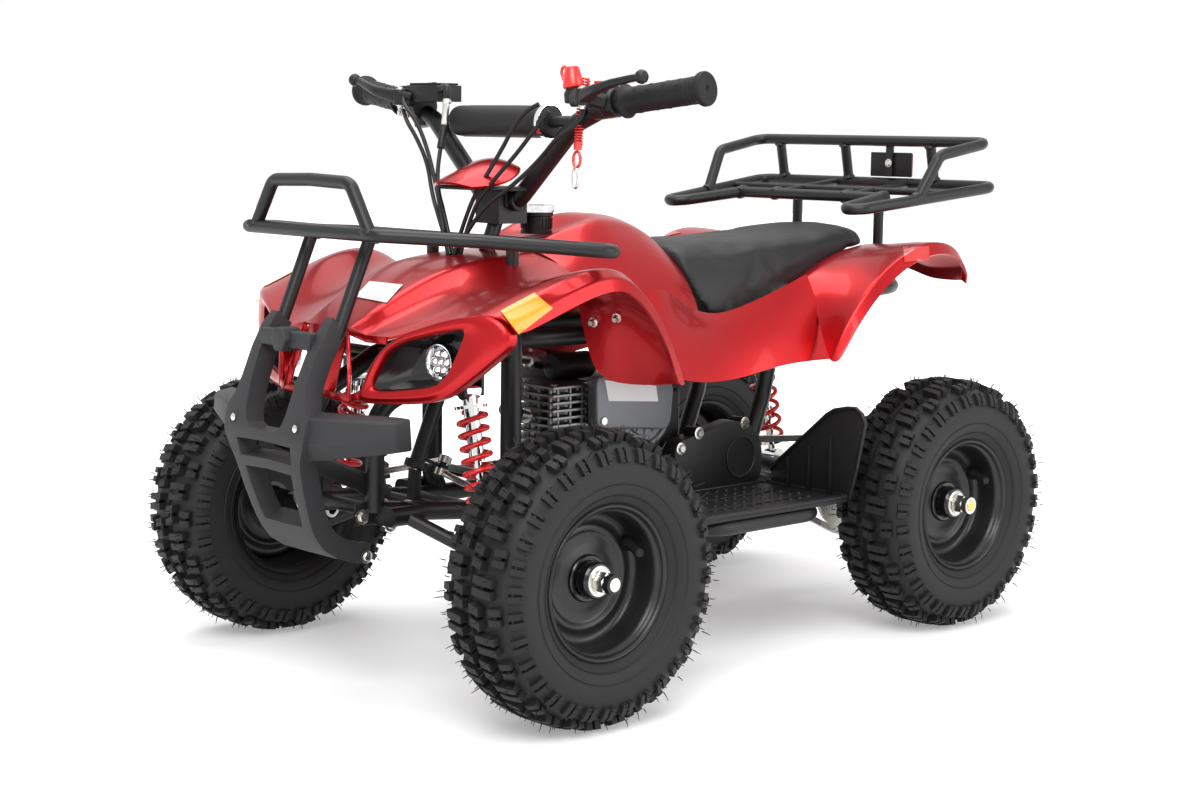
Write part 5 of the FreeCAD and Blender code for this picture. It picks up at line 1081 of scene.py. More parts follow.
# The curly cord of the cut-off cap: it hangs from the lever's perch, with a ring and a hook on its end
CURLY_ROUTE = [(150, -216, 706), (146, -217, 690), (142, -218, 668), (140, -218, 648), (139, -218, 630)]
CURLY_TURNS = 24
CURLY_POINTS_PER_TURN = 12
CURLY_RADIUS = 4.4
CURLY_WIRE = 1.05


def point_along(line, distance):
    """The point at a distance along a line of points, and the direction there."""
    for before, after in zip(line, line[1:]):
        step = (after - before).length
        if distance <= step:
            return before + (after - before) * (distance / step), (after - before).normalized()
        distance -= step
    return line[-1].copy(), (line[-1] - line[-2]).normalized()


def oval(low, move, half_width, half_height):
    """A closed upright loop of points that faces front and back."""
    return [Vector((math.cos(angle) * half_width, 0, math.sin(angle) * half_height)) + low + Vector(move)
            for angle in (math.radians(15 * step) for step in range(25))]


def add_lanyard():
    line = spline_line(mirrored(CURLY_ROUTE, 1))
    count = CURLY_TURNS * CURLY_POINTS_PER_TURN
    total = length_of(line)
    helix = []
    for step in range(count + 1):
        spot, ahead = point_along(line, total * step / count)
        across = ahead.cross(Y_AXIS).normalized()
        aside = ahead.cross(across).normalized()
        angle = 2 * math.pi * step / CURLY_POINTS_PER_TURN
        helix.append(spot + (across * math.cos(angle) + aside * math.sin(angle)) * CURLY_RADIUS)
    cord = cable("curly_cord", helix, CURLY_WIRE, "red_plastic")
    ring, hook = meshes(2)
    low = at(*CURLY_ROUTE[-1])
    tube(ring, [low + Vector((0, 0, 4)), low + Vector((-1, 0, -6))], [5.4, 4.6], 20)
    tube(ring, oval(low, (-2, 0, -17), 6.0, 9.0), 1.7, 10, caps=False)
    tube(hook, oval(low, (-4, 0, -38), 4.4, 12.0), 1.5, 10, caps=False)
    lathe(hook, [(-3.5, 1.8), (3.5, 1.8)], low + Vector((-3, 0, -26)), 14, Z_AXIS)
    rings = add_piece("lanyard_ring", ring, "red_plastic", (), "steering")
    hooks = add_piece("lanyard_hook", hook, "zinc", (), "steering")
    length_of(spline_line(helix)) * MM


def add_controls():
    add_grips()
    add_levers()
    add_throttle()
    add_switches()
    add_pad()
    add_cables()
    add_lanyard()


# Bull bar: its face as side profile y and z, and its front faces as x and z of the left half
BAR_PROFILE = [
    (-508, 438), (-518, 425), (-530, 405), (-543, 378), (-557, 332), (-562, 308), (-560, 286), (-555, 268),
    (-548, 243), (-536, 208), (-528, 192), (-516, 177), (-498, 165), (-474, 157), (-452, 153),
]
BAR_FACES = [
    [(48, 438), (60, 438), (64, 424), (46, 424)],
    [(46, 424), (64, 424), (63, 398), (45, 398)],
    [(45, 398), (63, 398), (63, 366), (43, 366)],
    [(43, 366), (63, 366), (68, 346), (41, 346)],
    [(41, 346), (68, 346), (77, 333), (39, 331)],
    [(39, 331), (77, 333), (79, 320), (34, 319)],
    [(34, 319), (79, 320), (78, 306), (24, 311)],
    [(24, 311), (78, 306), (75, 296), (53, 297), (30, 298)],
    [(0, 311), (24, 311), (30, 298), (0, 299)],
    [(53, 297), (75, 296), (69, 284), (66, 276), (50, 277)],
    [(0, 279), (50, 277), (66, 276), (63, 265), (45, 265), (0, 267)],
    [(45, 265), (63, 265), (60, 242), (43, 242)],
    [(43, 242), (60, 242), (57, 217), (40, 217)],
    [(40, 217), (57, 217), (55, 204), (37, 203)],
    [(37, 203), (55, 204), (54, 191), (35, 190)],
    [(0, 203), (37, 203), (35, 190), (0, 190)],
    [(0, 190), (35, 190), (35, 177), (0, 177)], [(35, 190), (54, 191), (54, 177), (35, 177)],
    [(0, 177), (35, 177), (36, 165), (0, 165)], [(35, 177), (54, 177), (54, 165), (36, 165)],
    [(0, 165), (36, 165), (38, 157), (0, 157)], [(36, 165), (54, 165), (54, 157), (38, 157)],
    [(38, 157), (54, 157), (53, 153.5), (42, 153.5)],
]
BAR_WALL = 24.0
WING_SECTIONS = [
    [(64, -526, 336), (64, -556, 331), (62, -560, 299), (60, -548, 280), (58, -524, 282)],
    [(160, -492, 338), (158, -522, 333), (155, -525, 314), (160, -508, 298), (160, -484, 299)],
    [(174, -486, 337), (174, -506, 334), (173, -507, 312), (172, -500, 301), (172, -482, 301)],
]
EYE_SPOT = (61, 319)
EYE_RIM = [(-1.0, 7.2), (0.5, 7.2), (0.9, 6.4), (0.9, 5.2), (-0.5, 4.8)]
EYE_HEAD = [(-0.6, 4.6), (1.0, 4.4), (2.4, 2.4), (2.7, 0.6)]
LONG_LINK = [(58, -532, 280), (56, -470, 252), (54, -428, 226)]
SHORT_LINK = [(54, -474, 214), (54, -396, 208)]
LINK_BOLTS = ((-437, 220), (-466, 210), (-425, 197), (-402, 214))
LINK_BOLT_X = 57
LIP_BOLT = (54.5, -458, 163)
CROSS_CENTRE = (0, -524, 411)
CROSS_SIZE = (96, 15, 19)
BOSS_FRONT_Y = -540
BOSS_DEPTH = 26
BOSS_HALF_WIDTH = 14.5
BOSS_HALF_HEIGHT = 15.5


def bar_point(x, z):
    for (y_high, z_high), (y_low, z_low) in zip(BAR_PROFILE, BAR_PROFILE[1:]):
        if z_low <= z <= z_high:
            share = (z_high - z) / (z_high - z_low)
            return at(x, y_high + (y_low - y_high) * share + abs(x) * 0.02, z)
    return at(x, BAR_PROFILE[-1][0], z)


def add_bull_bar():
    """The shell with its side wings, the bolted links behind it and the boss on its cross piece."""
    shell, parts, screws, plates = meshes(4)
    for side in SIDES:
        for corners in BAR_FACES:
            points = [shell.verts.new(bar_point(x * side, z) * MM) for x, z in corners]
            shell.faces.new(points if side < 0 else points[::-1])
    bmesh.ops.remove_doubles(shell, verts=shell.verts, dist=0.1 * MM)
    add_piece("bull_bar_shell", shell, "bumper", ["bull_bar"], limit=30.0, bevel=2.6, segments=3,
              wall=BAR_WALL)
    eye_axis = Vector((0, -1, 0.12)).normalized()
    for side in SIDES:
        loft(parts, [mirrored(section, side) for section in WING_SECTIONS])
        spot = bar_point(EYE_SPOT[0] * side, EYE_SPOT[1])
        lathe(plates, EYE_RIM, spot, 24, eye_axis)
        lathe(screws, EYE_HEAD, spot, 24, eye_axis)
        strap(plates, mirrored(LONG_LINK, side), 2.2, [12.0, 11.0, 13.0])
        strap(plates, mirrored(SHORT_LINK, side), 2.2, [14.0, 12.0])
        out = Vector((side, 0, 0))
        for y, z in LINK_BOLTS:
            bolt(screws, at(LINK_BOLT_X * side, y, z), out, 6.0, 5.0)
        bolt(screws, mirrored([LIP_BOLT], side)[0], out, 5.2, 3.6)
    box(parts, at(*CROSS_CENTRE), CROSS_SIZE)
    boss_z = CROSS_CENTRE[2]
    boss = [at(math.cos(angle) * BOSS_HALF_WIDTH, BOSS_FRONT_Y, boss_z + math.sin(angle) * BOSS_HALF_HEIGHT)
            for angle in (math.radians(60 * step) for step in range(6))]
    prism(parts, boss, Vector((0, BOSS_DEPTH, 0)))
    add_piece("bull_bar_wings", parts, "bumper", bevel=2.4, segments=3)
    add_piece("bull_bar_links", plates, "black_steel", bevel=0.8)
    add_piece("bull_bar_bolts", screws, "zinc")


# Front rack, as shares: like its solid, but with its front edge about 10 mm higher
RACK_RADIUS = 7.5
BAR_RADIUS = 5.0
RACK_CORNER = 18.0
RACK_RING = [(0.0, -0.496, 1.062), (0.25, -0.496, 1.062), (0.392, -0.41, 1.052), (0.56, -0.286, 1.03),
             (0.48, -0.262, 1.03), (0.0, -0.262, 1.03)]
RACK_HOOP = [(0.222, -0.494, 1.062), (0.148, -0.494, 1.172), (0.0, -0.494, 1.176)]
RACK_BARS = [[(0.1, -0.496, 1.062), (0.1, -0.262, 1.03)], [(0.19, -0.496, 1.062), (0.28, -0.262, 1.03)],
             [(0.0, -0.452, 1.056), (0.325, -0.452, 1.056)]]
RACK_POSTS = [[(0.112, -0.452, 1.056), (0.112, -0.502, 0.82)], [(0.15, -0.262, 1.03), (0.15, -0.262, 0.93)]]
WELD_SPOTS = ((111, -495, 534), (56, -452, 523))


def add_front_rack():
    tubes, welds = meshes(2)
    for shares, radius in [(RACK_RING, RACK_RADIUS), (RACK_HOOP, RACK_RADIUS)] + [
            (bar, BAR_RADIUS) for bar in RACK_BARS] + [(post, RACK_RADIUS) for post in RACK_POSTS]:
        for side in SIDES:
            points = mirrored([placed(share) for share in shares], side)
            tube(tubes, rounded_points(points, RACK_CORNER), radius, 18)
    for side in SIDES:
        for spot in mirrored(WELD_SPOTS, side):
            lathe(welds, [(-5, 8.4), (0, 11.5), (5, 8.4)], spot, 24, Z_AXIS)
        lathe(welds, [(0, 14.0), (3, 14.0), (5, 9.0)], at(75 * side, -262, 465), 24, Z_AXIS)
    add_piece("front_rack_tubes", tubes, "black_steel", ["front_rack"], limit=40.0)
    add_piece("front_rack_welds", welds, "black_steel")


# Rear rack: the back bar and sides end in loops at the front, with the front bar between them
LOOP_ROUTE = [
    (0, 476, 578), (215, 476, 578), (181, 246, 550.5), (163, 231, 549), (147, 248, 551), (129, 340, 561.7),
]
RAIL_ROUTE = [(193, 337, 561.4), (202, 370, 620), (210, 464, 637), (0, 464, 637)]
# Straight rods: their ends and their radius
REAR_RODS = [
    ([(0, 340, 561.7), (131, 340, 561.7)], RACK_RADIUS), ([(0, 400, 568.9), (202, 400, 568.9)], BAR_RADIUS),
    ([(65, 340, 561.7), (65, 476, 578)], BAR_RADIUS), ([(75, 400, 568.9), (75, 400, 447)], 7.0),
]
REAR_WELDS = ((193, 338, 563), (129, 340, 561.7), (65, 344, 562))
POST_RADIUS = 7.0
POST_FOOT = (476, 578)
POST_TOP = (464, 637)
POST_WELDS = ((474.6, 585), (465.4, 630))
POST_XS = (-170, -45, 110)
STRAP_X = 36


def add_rear_rack():
    tubes, welds = meshes(2)
    for side in SIDES:
        for route in (LOOP_ROUTE, RAIL_ROUTE):
            tube(tubes, rounded_points(mirrored(route, side), RACK_CORNER), RACK_RADIUS, 18)
        for ends, radius in REAR_RODS:
            rod(tubes, *mirrored(ends, side), radius)
        lean = Vector((0.2 * side, 1, 0.2)).normalized()
        for spot in mirrored(REAR_WELDS, side):
            lathe(welds, [(-9, 7.9), (-4, 9.2), (4, 9.2), (9, 7.9)], spot, 20, lean)
    for x in POST_XS:
        rod(tubes, at(x, *POST_FOOT), at(x, *POST_TOP), POST_RADIUS)
        for y, z in POST_WELDS:
            lathe(welds, [(-3, 7.2), (0, 9.4), (3, 7.2)], at(x, y, z), 20, Vector((0, -0.2, 1)).normalized())
    box(tubes, at(STRAP_X, 467.5, 613), (12, 3.4, 52))
    add_piece("rear_rack_tubes", tubes, "black_steel", ["rear_rack"], limit=40.0)
    add_piece("rear_rack_welds", welds, "black_steel")


# Fuel cap: a clear lid on a black neck
CAP_FOOT = (0, -160, 524)
NECK_PROFILE = [(-4, 19.5), (0, 19.5), (1, 18.6), (17, 18.6), (18, 20.6), (22, 20.6), (22, 16.0), (16, 15.0),
                (16, 2.0)]
LID_PROFILE = [(22.5, 21.6), (29, 21.6), (31, 20.6), (32, 18.0), (32, 8.0), (31, 6.0), (31, 1.0), (26, 1.0),
               (26, 18.0), (22.5, 19.0)]


def add_fuel_cap():
    neck, lid = meshes(2)
    foot = at(*CAP_FOOT)
    lathe(neck, NECK_PROFILE, foot, 48, Z_AXIS)
    for angle in round_turn(24):
        spot = foot + Vector((math.cos(angle) * 18.9, math.sin(angle) * 18.9, 9))
        box(neck, spot, (1.6, 1.6, 13), Matrix.Rotation(angle, 3, "Z"))
    lathe(lid, LID_PROFILE, foot, 48, Z_AXIS, closed=True)
    add_piece("fuel_neck", neck, "plastic", ["fuel_cap"])
    add_piece("fuel_lid", lid, "lamp")


# Camera
CAMERA_AZIMUTH = 47.25
CAMERA_ELEVATION = 7.4
CAMERA_DISTANCE = 2.6779
CAMERA_TARGET = Vector((0.0, -0.0220, 0.3050))
CAMERA_ROLL = 0.82
CAMERA_LENS = 62.91
SENSOR_WIDTH = 36.0

# Stickers and reflectors: corners as pixels of the photograph, laid on the shell that they are seen on
PHOTO_WIDTH = 1200
PHOTO_HEIGHT = 800
AMBER_CORNER_PIXELS = [(500.5, 311.5), (534.0, 293.6), (552.5, 309.0), (518.6, 335.0)]
RED_CORNER_PIXELS = [(903.0, 247.5), (928.5, 246.5), (928.5, 260.0), (904.0, 262.5)]
LABEL_CORNER_PIXELS = [(355.0, 297.5), (370.0, 282.0), (403.0, 285.5), (387.0, 303.5)]
STICKER_STEPS = 10
STICKER_LIFT = 0.9
STICKER_WALL = 0.5
STICKER_REACH = 45.0


def camera_basis():
    azimuth, elevation = math.radians(CAMERA_AZIMUTH), math.radians(CAMERA_ELEVATION)
    back = Vector((math.sin(azimuth) * math.cos(elevation), -math.cos(azimuth) * math.cos(elevation),
                   math.sin(elevation)))
    right = (-back).cross(Z_AXIS).normalized()
    up = right.cross(-back)
    roll = math.radians(CAMERA_ROLL)
    right_rolled = right * math.cos(roll) + up * math.sin(roll)
    up_rolled = up * math.cos(roll) - right * math.sin(roll)
    return right_rolled, up_rolled, back


def sight_line(pixel):
    """The line of sight through a pixel of the photograph."""
    right, up, back = camera_basis()
    focal = CAMERA_LENS / SENSOR_WIDTH * PHOTO_WIDTH
    ray = right * ((pixel[0] - PHOTO_WIDTH / 2) / focal) - up * ((pixel[1] - PHOTO_HEIGHT / 2) / focal) - back
    return CAMERA_TARGET + back * CAMERA_DISTANCE, ray.normalized()


def seen_spot(name, shell, pixel, base=None, facing=None):
    """The point of a shell behind a pixel, or of its plane past its edge, and the way it faces there."""
    start, ray = sight_line(pixel)
    hit, place, normal, _ = shell.ray_cast(start, ray)
    if hit and (base is None or (place - base).length < STICKER_REACH * MM):
        return place, normal if normal.dot(ray) < 0 else -normal
    if base is None:
        raise ValueError(name + " misses its shell")
    return start + ray * ((base - start).dot(facing) / ray.dot(facing)), facing


def mixed(first, second, share):
    return [a * (1 - share) + b * share for a, b in zip(first, second)]


def add_sticker(name, shell, corners, material, sides=SIDES):
    """A thin sheet that follows a shell inside four pixels, on both sides of the object or on one."""
    bm = bmesh.new()
    base, facing = seen_spot(name, shell, [sum(values) / 4 for values in zip(*corners)])
    steps = [step / STICKER_STEPS for step in range(STICKER_STEPS + 1)]
    grid = []
    for down in steps:
        line = []
        for along in steps:
            pixel = mixed(mixed(corners[0], corners[1], along), mixed(corners[3], corners[2], along), down)
            line.append(seen_spot(name, shell, pixel, base, facing)[0] + facing * STICKER_LIFT * MM)
        grid.append(line)
    for side in sides:
        verts = [[bm.verts.new(mirror_x(point, side)) for point in line] for line in grid]
        for above, below in zip(verts, verts[1:]):
            for face in zip(above, below, below[1:], above[1:]):
                bm.faces.new(face if side > 0 else face[::-1])
    add_piece(name, bm, material, limit=60.0, wall=-STICKER_WALL)


def add_stickers():
    hood = bpy.data.objects["hood_and_fenders"]
    rear = bpy.data.objects["rear_fender_shell"]
    add_sticker("side_reflectors", hood, AMBER_CORNER_PIXELS, "amber")
    add_sticker("rear_side_reflectors", rear, RED_CORNER_PIXELS, "red_lens")
    add_sticker("hood_label", hood, LABEL_CORNER_PIXELS, "label", (1,))


# Engine side: the cover with its blank label, the case over the chain, and small parts between them
COVER_CENTRE = (61, -54, 300)
COVER_PROFILE = [
    (0, 55), (14, 55), (22, 50), (27, 44), (27, 40), (24, 38), (24, 30), (27, 29), (27, 10), (30, 9),
    (30, 2),
]
SHROUD_OUTLINE = [(-144, 292), (-146, 346), (-138, 352), (-22, 337), (-14, 330), (-18, 284), (-28, 276),
                  (-60, 280), (-132, 286)]
SHROUD_INNER_X = 80.0
COVER_OUTER_X = 98.0
LABEL_OUTLINE = [(-133, 346), (-46, 333), (-42, 313), (-126, 320)]
CASE_OUTLINE = [(-8, 250), (0, 258), (98, 277), (124, 272), (148, 252), (153, 232), (152, 200), (146, 194),
                (24, 193), (6, 205), (-8, 234)]
CASE_INNER_X = 72.0
CASE_OUTER_X = 96.0
CASE_DISC = (112, 228)
CASE_BOLTS = [(2, 249), (34, 266), (118, 272)]


def side_prism(bm, outline, inner, outer, bend=6.0):
    """An outline in y and z, with its corners rounded, pushed from one x to another."""
    loop = [at(inner, y, z) for y, z in outline]
    count = len(loop)
    points = []
    for index in range(count):
        before, corner, after = loop[index - 1], loop[index], loop[(index + 1) % count]
        trim_back = min(bend, (before - corner).length * 0.4)
        trim_ahead = min(bend, (after - corner).length * 0.4)
        start = corner + (before - corner).normalized() * trim_back
        end = corner + (after - corner).normalized() * trim_ahead
        for step in range(4):
            share = step / 3
            points.append(start * (1 - share) ** 2 + corner * 2 * share * (1 - share) + end * share ** 2)
    prism(bm, points, Vector((outer - inner, 0, 0)))


def add_engine_side():
    cover, shroud, label, case, zinc = meshes(5)
    lathe(cover, COVER_PROFILE, at(*COVER_CENTRE), 56)
    for angle in round_turn(12):
        turn = Matrix.Rotation(angle, 3, "X")
        box(cover, at(87, *COVER_CENTRE[1:]) + turn @ Vector((0, 0, 20)), (5, 3, 18), turn)
    side_prism(shroud, SHROUD_OUTLINE, SHROUD_INNER_X, COVER_OUTER_X, 9.0)
    side_prism(label, LABEL_OUTLINE, COVER_OUTER_X, COVER_OUTER_X + 0.7, 1.0)
    side_prism(case, CASE_OUTLINE, CASE_INNER_X, CASE_OUTER_X, 8.0)
    disc = at(CASE_OUTER_X, *CASE_DISC)
    lathe(case, [(-1, 27.5), (1.8, 27.5), (1.8, 25.5), (0.4, 25.0), (0.4, 1.0)], disc, 56)
    for y, z in CASE_BOLTS:
        lathe(case, [(-20, 7.5), (2.0, 7.5), (2.0, 2.0)], at(CASE_OUTER_X - 2, y, z), 24)
        bolt(zinc, at(CASE_OUTER_X, y, z), X_AXIS, 5.4, 4.4)
    lathe(zinc, [(0, 5.0), (2.5, 4.6), (2.5, 1.5)], at(COVER_OUTER_X, -134, 296), 18)
    add_piece("engine_cover", cover, "grey", ["recoil_cover"])
    add_piece("engine_shroud", shroud, "grey", bevel=2.5, segments=3)
    add_piece("engine_label", label, "label")
    add_piece("chain_guard", case, "plastic", ["chain_case"], bevel=1.6, segments=3)
    add_piece("engine_bolts", zinc, "zinc")


# Engine cylinder with its fins, and the carburettor and the spark plug beside it
FIN_CENTRE = (35, -155)
FIN_FIRST = 218
FIN_STEP = 9.2
FIN_COUNT = 14
FIN_WIDTH = 86
STUD_REACH = 26
STUD_TOP = FIN_FIRST + 119
RIB_Z = FIN_FIRST + 60
INLET_FOOT = (35, -200, 300)
INLET_HEAD = (35, -214, 305)
FLOAT_BOWL_CENTRE = (-20, -118, 352)
FLOAT_BOWL_SIZE = (60, 46, 34)
BARREL_CENTRE = (20, -120, 356)
PLUG_FOOT = (-4, -146, 362)


def add_cylinder():
    fins, studs, dark, metal = meshes(4)
    x, y = FIN_CENTRE
    for step in range(FIN_COUNT):
        width = FIN_WIDTH - (6 if step in (0, FIN_COUNT - 1) else 0)
        box(fins, at(x, y, FIN_FIRST + FIN_STEP * step), (width, width, 3.4))
    lathe(fins, [(0, 27), (120, 27)], at(x, y, FIN_FIRST), 40, Z_AXIS)
    for column in (-30, -10, 10, 30):
        box(fins, at(x + column, y - 36, RIB_Z), (4, 4, 118))
        box(fins, at(x + 36, y + column, RIB_Z), (4, 4, 118))
    for b in (-STUD_REACH, STUD_REACH):
        for a in (-STUD_REACH, STUD_REACH):
            top = at(x + a, y + b, STUD_TOP)
            rod(studs, at(x + a, y + b, FIN_FIRST - 4), top, 3.0, 12)
            bolt(studs, top, Z_AXIS, 5.0, 3.5)
    # The fins take the lighter grey metal: painted highlight on black fins
    add_piece("cylinder_fins", fins, "fins", ["engine_cylinder"], bevel=0.8)
    add_piece("cylinder_studs", studs, "zinc")
    forward = Vector((0, -1, 0.3)).normalized()
    lathe(metal, [(0, 9), (3, 9), (3, 6), (14, 6), (14, 4), (22, 4)], at(*INLET_FOOT), 20, forward)
    lathe(dark, [(0, 8.5), (26, 8.5), (30, 6)], at(*INLET_HEAD), 20, forward)
    box(dark, at(*FLOAT_BOWL_CENTRE), FLOAT_BOWL_SIZE)
    lathe(dark, [(-30, 17), (30, 17)], at(*BARREL_CENTRE), 28, Y_AXIS)
    lathe(metal, [(0, 12), (22, 12), (24, 9), (40, 9)], at(*PLUG_FOOT), 24, Vector((0, -1, 0.2)).normalized())
    add_piece("carburettor", dark, "engine", bevel=2.0)
    add_piece("spark_plug", metal, "zinc")


# Footboards: outline seen from above, rim, studs and the heel guard with its ribs
BOARD_OUTLINE = [(92, -106), (98, -111), (230, -111), (240, -102), (242, 120), (240, 158), (234, 164),
                 (96, 164), (91, 158)]
BOARD_TOP = 190.0
BOARD_DEPTH = 6.0
GUARD_OUTLINE = [
    (106, 186), (106, 208), (118, 221), (200, 291), (212, 298), (234, 303), (248, 304), (258, 298),
    (264, 286), (252, 228), (241, 186),
]
GUARD_FRONT_Y = 160.0
GUARD_DEPTH = 5.0
GUARD_RIB_XS = (140, 176, 212)
GRIP_BAR_XS = (150, 200)
STUD_START = (112, -84)
STUD_ROW_STEP = 24
STUD_STEP = 17
STUD_ROWS = 6
STUDS_PER_ROW = 13


def add_footboards():
    boards, studs = meshes(2)
    for side in SIDES:
        outline = [at(x * side, y, BOARD_TOP - BOARD_DEPTH) for x, y in BOARD_OUTLINE]
        prism(boards, outline, Vector((0, 0, BOARD_DEPTH)))
        middle = sum(outline, Vector()) / len(outline)
        rim = [middle + (p - middle) * 0.985 + Vector((0, 0, BOARD_DEPTH + 1.0)) for p in outline]
        tube(boards, rim + [rim[0]], 3.2, 10, caps=False)
        guard = [at(x * side, GUARD_FRONT_Y, z) for x, z in GUARD_OUTLINE]
        prism(boards, guard, Vector((0, GUARD_DEPTH, 0)))
        tube(boards, guard[1:-1], 2.6, 10)
        box(boards, at(166 * side, -108, BOARD_TOP + 2), (138, 6, 13))
        for x in GUARD_RIB_XS:
            rise = 40 + (x - GUARD_RIB_XS[0]) * 0.5
            box(boards, at(x * side, GUARD_FRONT_Y - 3, BOARD_TOP + rise / 2), (3, 8, rise))
        for row in range(STUD_ROWS):
            for step in range(STUDS_PER_ROW):
                x = STUD_START[0] + row * STUD_ROW_STEP
                y = STUD_START[1] + step * STUD_STEP + (row % 2) * 8
                lathe(studs, [(0, 3.0), (2.2, 2.2), (2.4, 0.8)], at(x * side, y, BOARD_TOP), 8, Z_AXIS)
        for x in GRIP_BAR_XS:
            box(boards, at(x * side, 24, BOARD_TOP + 0.8), (7, 190, 2.0))
    add_piece("footboard_plates", boards, "plastic", ["footboards"], limit=40.0, bevel=1.2)
    add_piece("footboard_studs", studs, "plastic")


# Small parts: bolts on the arches, the clamp plate under the bar cover and the tail plate
ARCH_BOLT_PIXELS = [(593.5, 322.0), (617.0, 317.5)]
CLAMP_PLATE = [(-62, -262), (-50, -274), (44, -272), (60, -254), (54, -216), (-50, -216)]
TAIL_PLATE_CENTRE = (36, 471.5, 604)
TAIL_PLATE_SIZE = (74, 3.0, 34)
TAIL_LENS_SIZE = (71, 3.0, 31)
CLAMP_FLOOR = 574
CLAMP_BLOCK_CENTRE = (0, -216, 563)
CLAMP_BLOCK_SIZE = (50, 30, 18)
CLAMP_COLLAR_XS = (-33, 15)


def add_small_parts():
    zinc, clamp, tail, lens, screw = meshes(5)
    hood = bpy.data.objects["hood_and_fenders"]
    for pixel in ARCH_BOLT_PIXELS:
        place, outward = seen_spot("arch_bolts", hood, pixel)
        for side in SIDES:
            bolt(zinc, mirror_x(place, side) / MM, mirror_x(outward, side), 4.0, 7.0)
    add_piece("arch_bolts", zinc, "zinc")
    prism(clamp, [at(x, y, CLAMP_FLOOR) for x, y in CLAMP_PLATE], Vector((0, 0, 5)))
    box(clamp, at(*CLAMP_BLOCK_CENTRE), CLAMP_BLOCK_SIZE)
    for x in CLAMP_COLLAR_XS:
        lathe(clamp, [(0, 13), (18, 13)], at(x, -215, 562), 28)
    add_piece("bar_clamp", clamp, "plastic", (), "steering", bevel=2.0)
    centre = at(*TAIL_PLATE_CENTRE)
    box(tail, centre, TAIL_PLATE_SIZE)
    box(lens, centre + Vector((0, 3.0, 0)), TAIL_LENS_SIZE)
    bolt(screw, centre + Vector((0, -5.6, 2)), -Y_AXIS, 4.0, 3.0)
    add_piece("tail_plate", tail, "plastic", ["tail_reflector"], bevel=1.0)
    add_piece("tail_lens", lens, "red_lens", bevel=0.8)
    add_piece("tail_screw", screw, "zinc")


# CAD nodes that stay in view, by their finish
KEPT_NODES = {
    "black_steel": ["frame", "a_arms", "swingarm", "foot_tubes", "handlebar", "knuckle_left", "knuckle_right",
                    "steering_stem"],
    "zinc": ["rear_axle", "tie_rod_left", "tie_rod_right", "chain"], "red_steel": ["springs"],
    "chrome": ["dampers"], "engine": ["engine_block"], "grey": ["air_box"], "exhaust": ["exhaust"],
}


def finish_nodes():
    for finish, nodes in KEPT_NODES.items():
        for node in nodes:
            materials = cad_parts[node].data.materials
            materials.clear()
            materials.append(MATERIALS[finish])


# Stage: camera, world, floor and lights
WORLD_LIGHT = 0.5
FLOOR_RADIUS = 14.0
WHITE = (1, 1, 1, 1)


def add_camera():
    right, up, back = camera_basis()
    data = bpy.data.cameras.new("view")
    data.lens = CAMERA_LENS
    data.sensor_width = SENSOR_WIDTH
    data.clip_end = 100.0
    camera = bpy.data.objects.new("view", data)
    turn = Matrix((right, up, back)).transposed().to_4x4()
    camera.matrix_world = Matrix.Translation(CAMERA_TARGET + back * CAMERA_DISTANCE) @ turn
    bpy.context.scene.collection.objects.link(camera)
    bpy.context.scene.camera = camera


def add_light(name, place, aim_height, size, power):
    """A soft square light that aims at a height over the middle of the floor."""
    data = bpy.data.lights.new(name, "AREA")
    data.shape = "RECTANGLE"
    data.size = data.size_y = size
    data.energy = power
    lamp = bpy.data.objects.new(name, data)
    lamp.location = place
    lamp.rotation_euler = (Vector((0, 0, aim_height)) - Vector(place)).to_track_quat("-Z", "Y").to_euler()
    bpy.context.scene.collection.objects.link(lamp)


def seen_rays(tree):
    """One for what the camera sees, directly or in metal, gloss and glass, and zero for other light."""
    path = add_node(tree, "LightPath")
    seen = path.outputs["Is Camera Ray"]
    for kind in ("Is Glossy Ray", "Is Transmission Ray"):
        either = add_node(tree, "Math", operation="MAXIMUM")
        tree.links.new(seen, either.inputs[0])
        tree.links.new(path.outputs[kind], either.inputs[1])
        seen = either.outputs["Value"]
    return seen


def add_world():
    world = bpy.data.worlds.new("studio")
    bpy.context.scene.world = world
    world.use_nodes = True
    tree = world.node_tree
    join = tree.links.new
    plain = tree.nodes["Background"]
    plain.inputs["Color"].default_value = WHITE
    plain.inputs["Strength"].default_value = WORLD_LIGHT
    bright = add_node(tree, "Background", {"Color": WHITE, "Strength": 1.0})
    mix = add_node(tree, "MixShader")
    join(seen_rays(tree), mix.inputs["Fac"])
    join(plain.outputs["Background"], mix.inputs[1])
    join(bright.outputs["Background"], mix.inputs[2])
    join(mix.outputs["Shader"], tree.nodes["World Output"].inputs["Surface"])


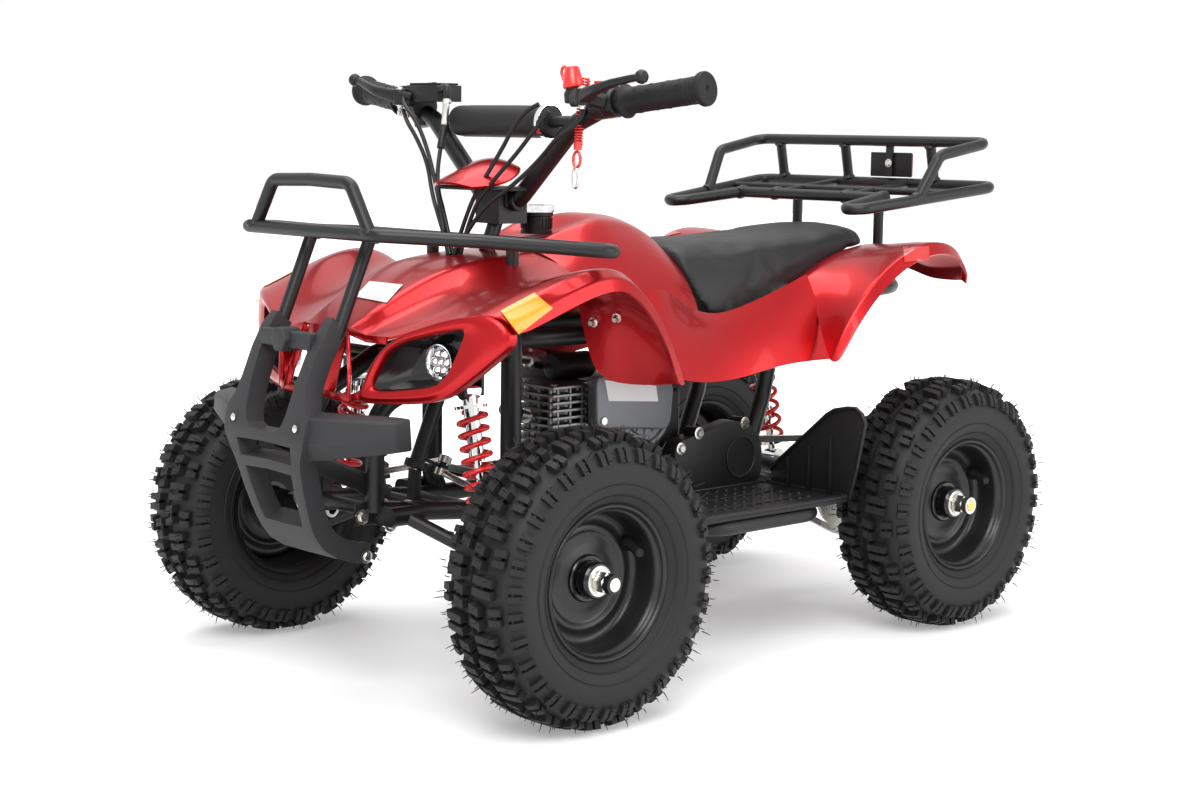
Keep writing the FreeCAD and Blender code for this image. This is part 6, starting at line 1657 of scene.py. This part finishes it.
def floor_material():
    """White paint that keeps the shadow near the object and fades to the white background away from it."""
    material = bpy.data.materials.new("floor_white")
    material.use_nodes = True
    tree = material.node_tree
    join = tree.links.new
    tree.nodes.clear()
    paint = add_node(tree, "BsdfDiffuse", {"Color": (0.8, 0.8, 0.8, 1)})
    glow = add_node(tree, "Emission", {"Color": WHITE})
    away = add_node(tree, "VectorMath", operation="LENGTH")
    join(add_node(tree, "NewGeometry").outputs["Position"], away.inputs[0])
    fade = add_node(tree, "MapRange", {"From Min": 0.7, "From Max": 2.4, "To Min": 0.3, "To Max": 1.0},
                    interpolation_type="SMOOTHSTEP")
    join(away.outputs["Value"], fade.inputs["Value"])
    lit = add_node(tree, "Math", operation="MULTIPLY")
    join(fade.outputs["Result"], lit.inputs[0])
    join(seen_rays(tree), lit.inputs[1])
    join(lit.outputs["Value"], glow.inputs["Strength"])
    both = add_node(tree, "AddShader")
    join(paint.outputs["BSDF"], both.inputs[0])
    join(glow.outputs["Emission"], both.inputs[1])
    join(both.outputs["Shader"], add_node(tree, "OutputMaterial").inputs["Surface"])
    return material


def add_floor():
    bm = bmesh.new()
    bmesh.ops.create_circle(bm, cap_ends=True, radius=FLOOR_RADIUS, segments=96)
    mesh = bpy.data.meshes.new("floor")
    bm.to_mesh(mesh)
    bm.free()
    floor = bpy.data.objects.new("floor", mesh)
    bpy.context.scene.collection.objects.link(floor)
    mesh.materials.append(floor_material())


def add_stage():
    add_camera()
    add_world()
    add_floor()
    add_light("key", (2.2, -2.6, 3.4), 0.3, 2.6, 170.0)
    add_light("fill", (3.6, 1.6, 1.6), 0.3, 2.4, 60.0)
    add_light("top", (-0.6, 0.2, 3.8), 0.2, 3.2, 120.0)
    bpy.context.scene.view_settings.view_transform = "Standard"


finish_nodes()
add_wheels()
add_body()
add_seat()
add_controls()
add_bull_bar()
add_front_rack()
add_rear_rack()
add_fuel_cap()
add_stickers()
add_engine_side()
add_cylinder()
add_footboards()
add_small_parts()
add_stage()
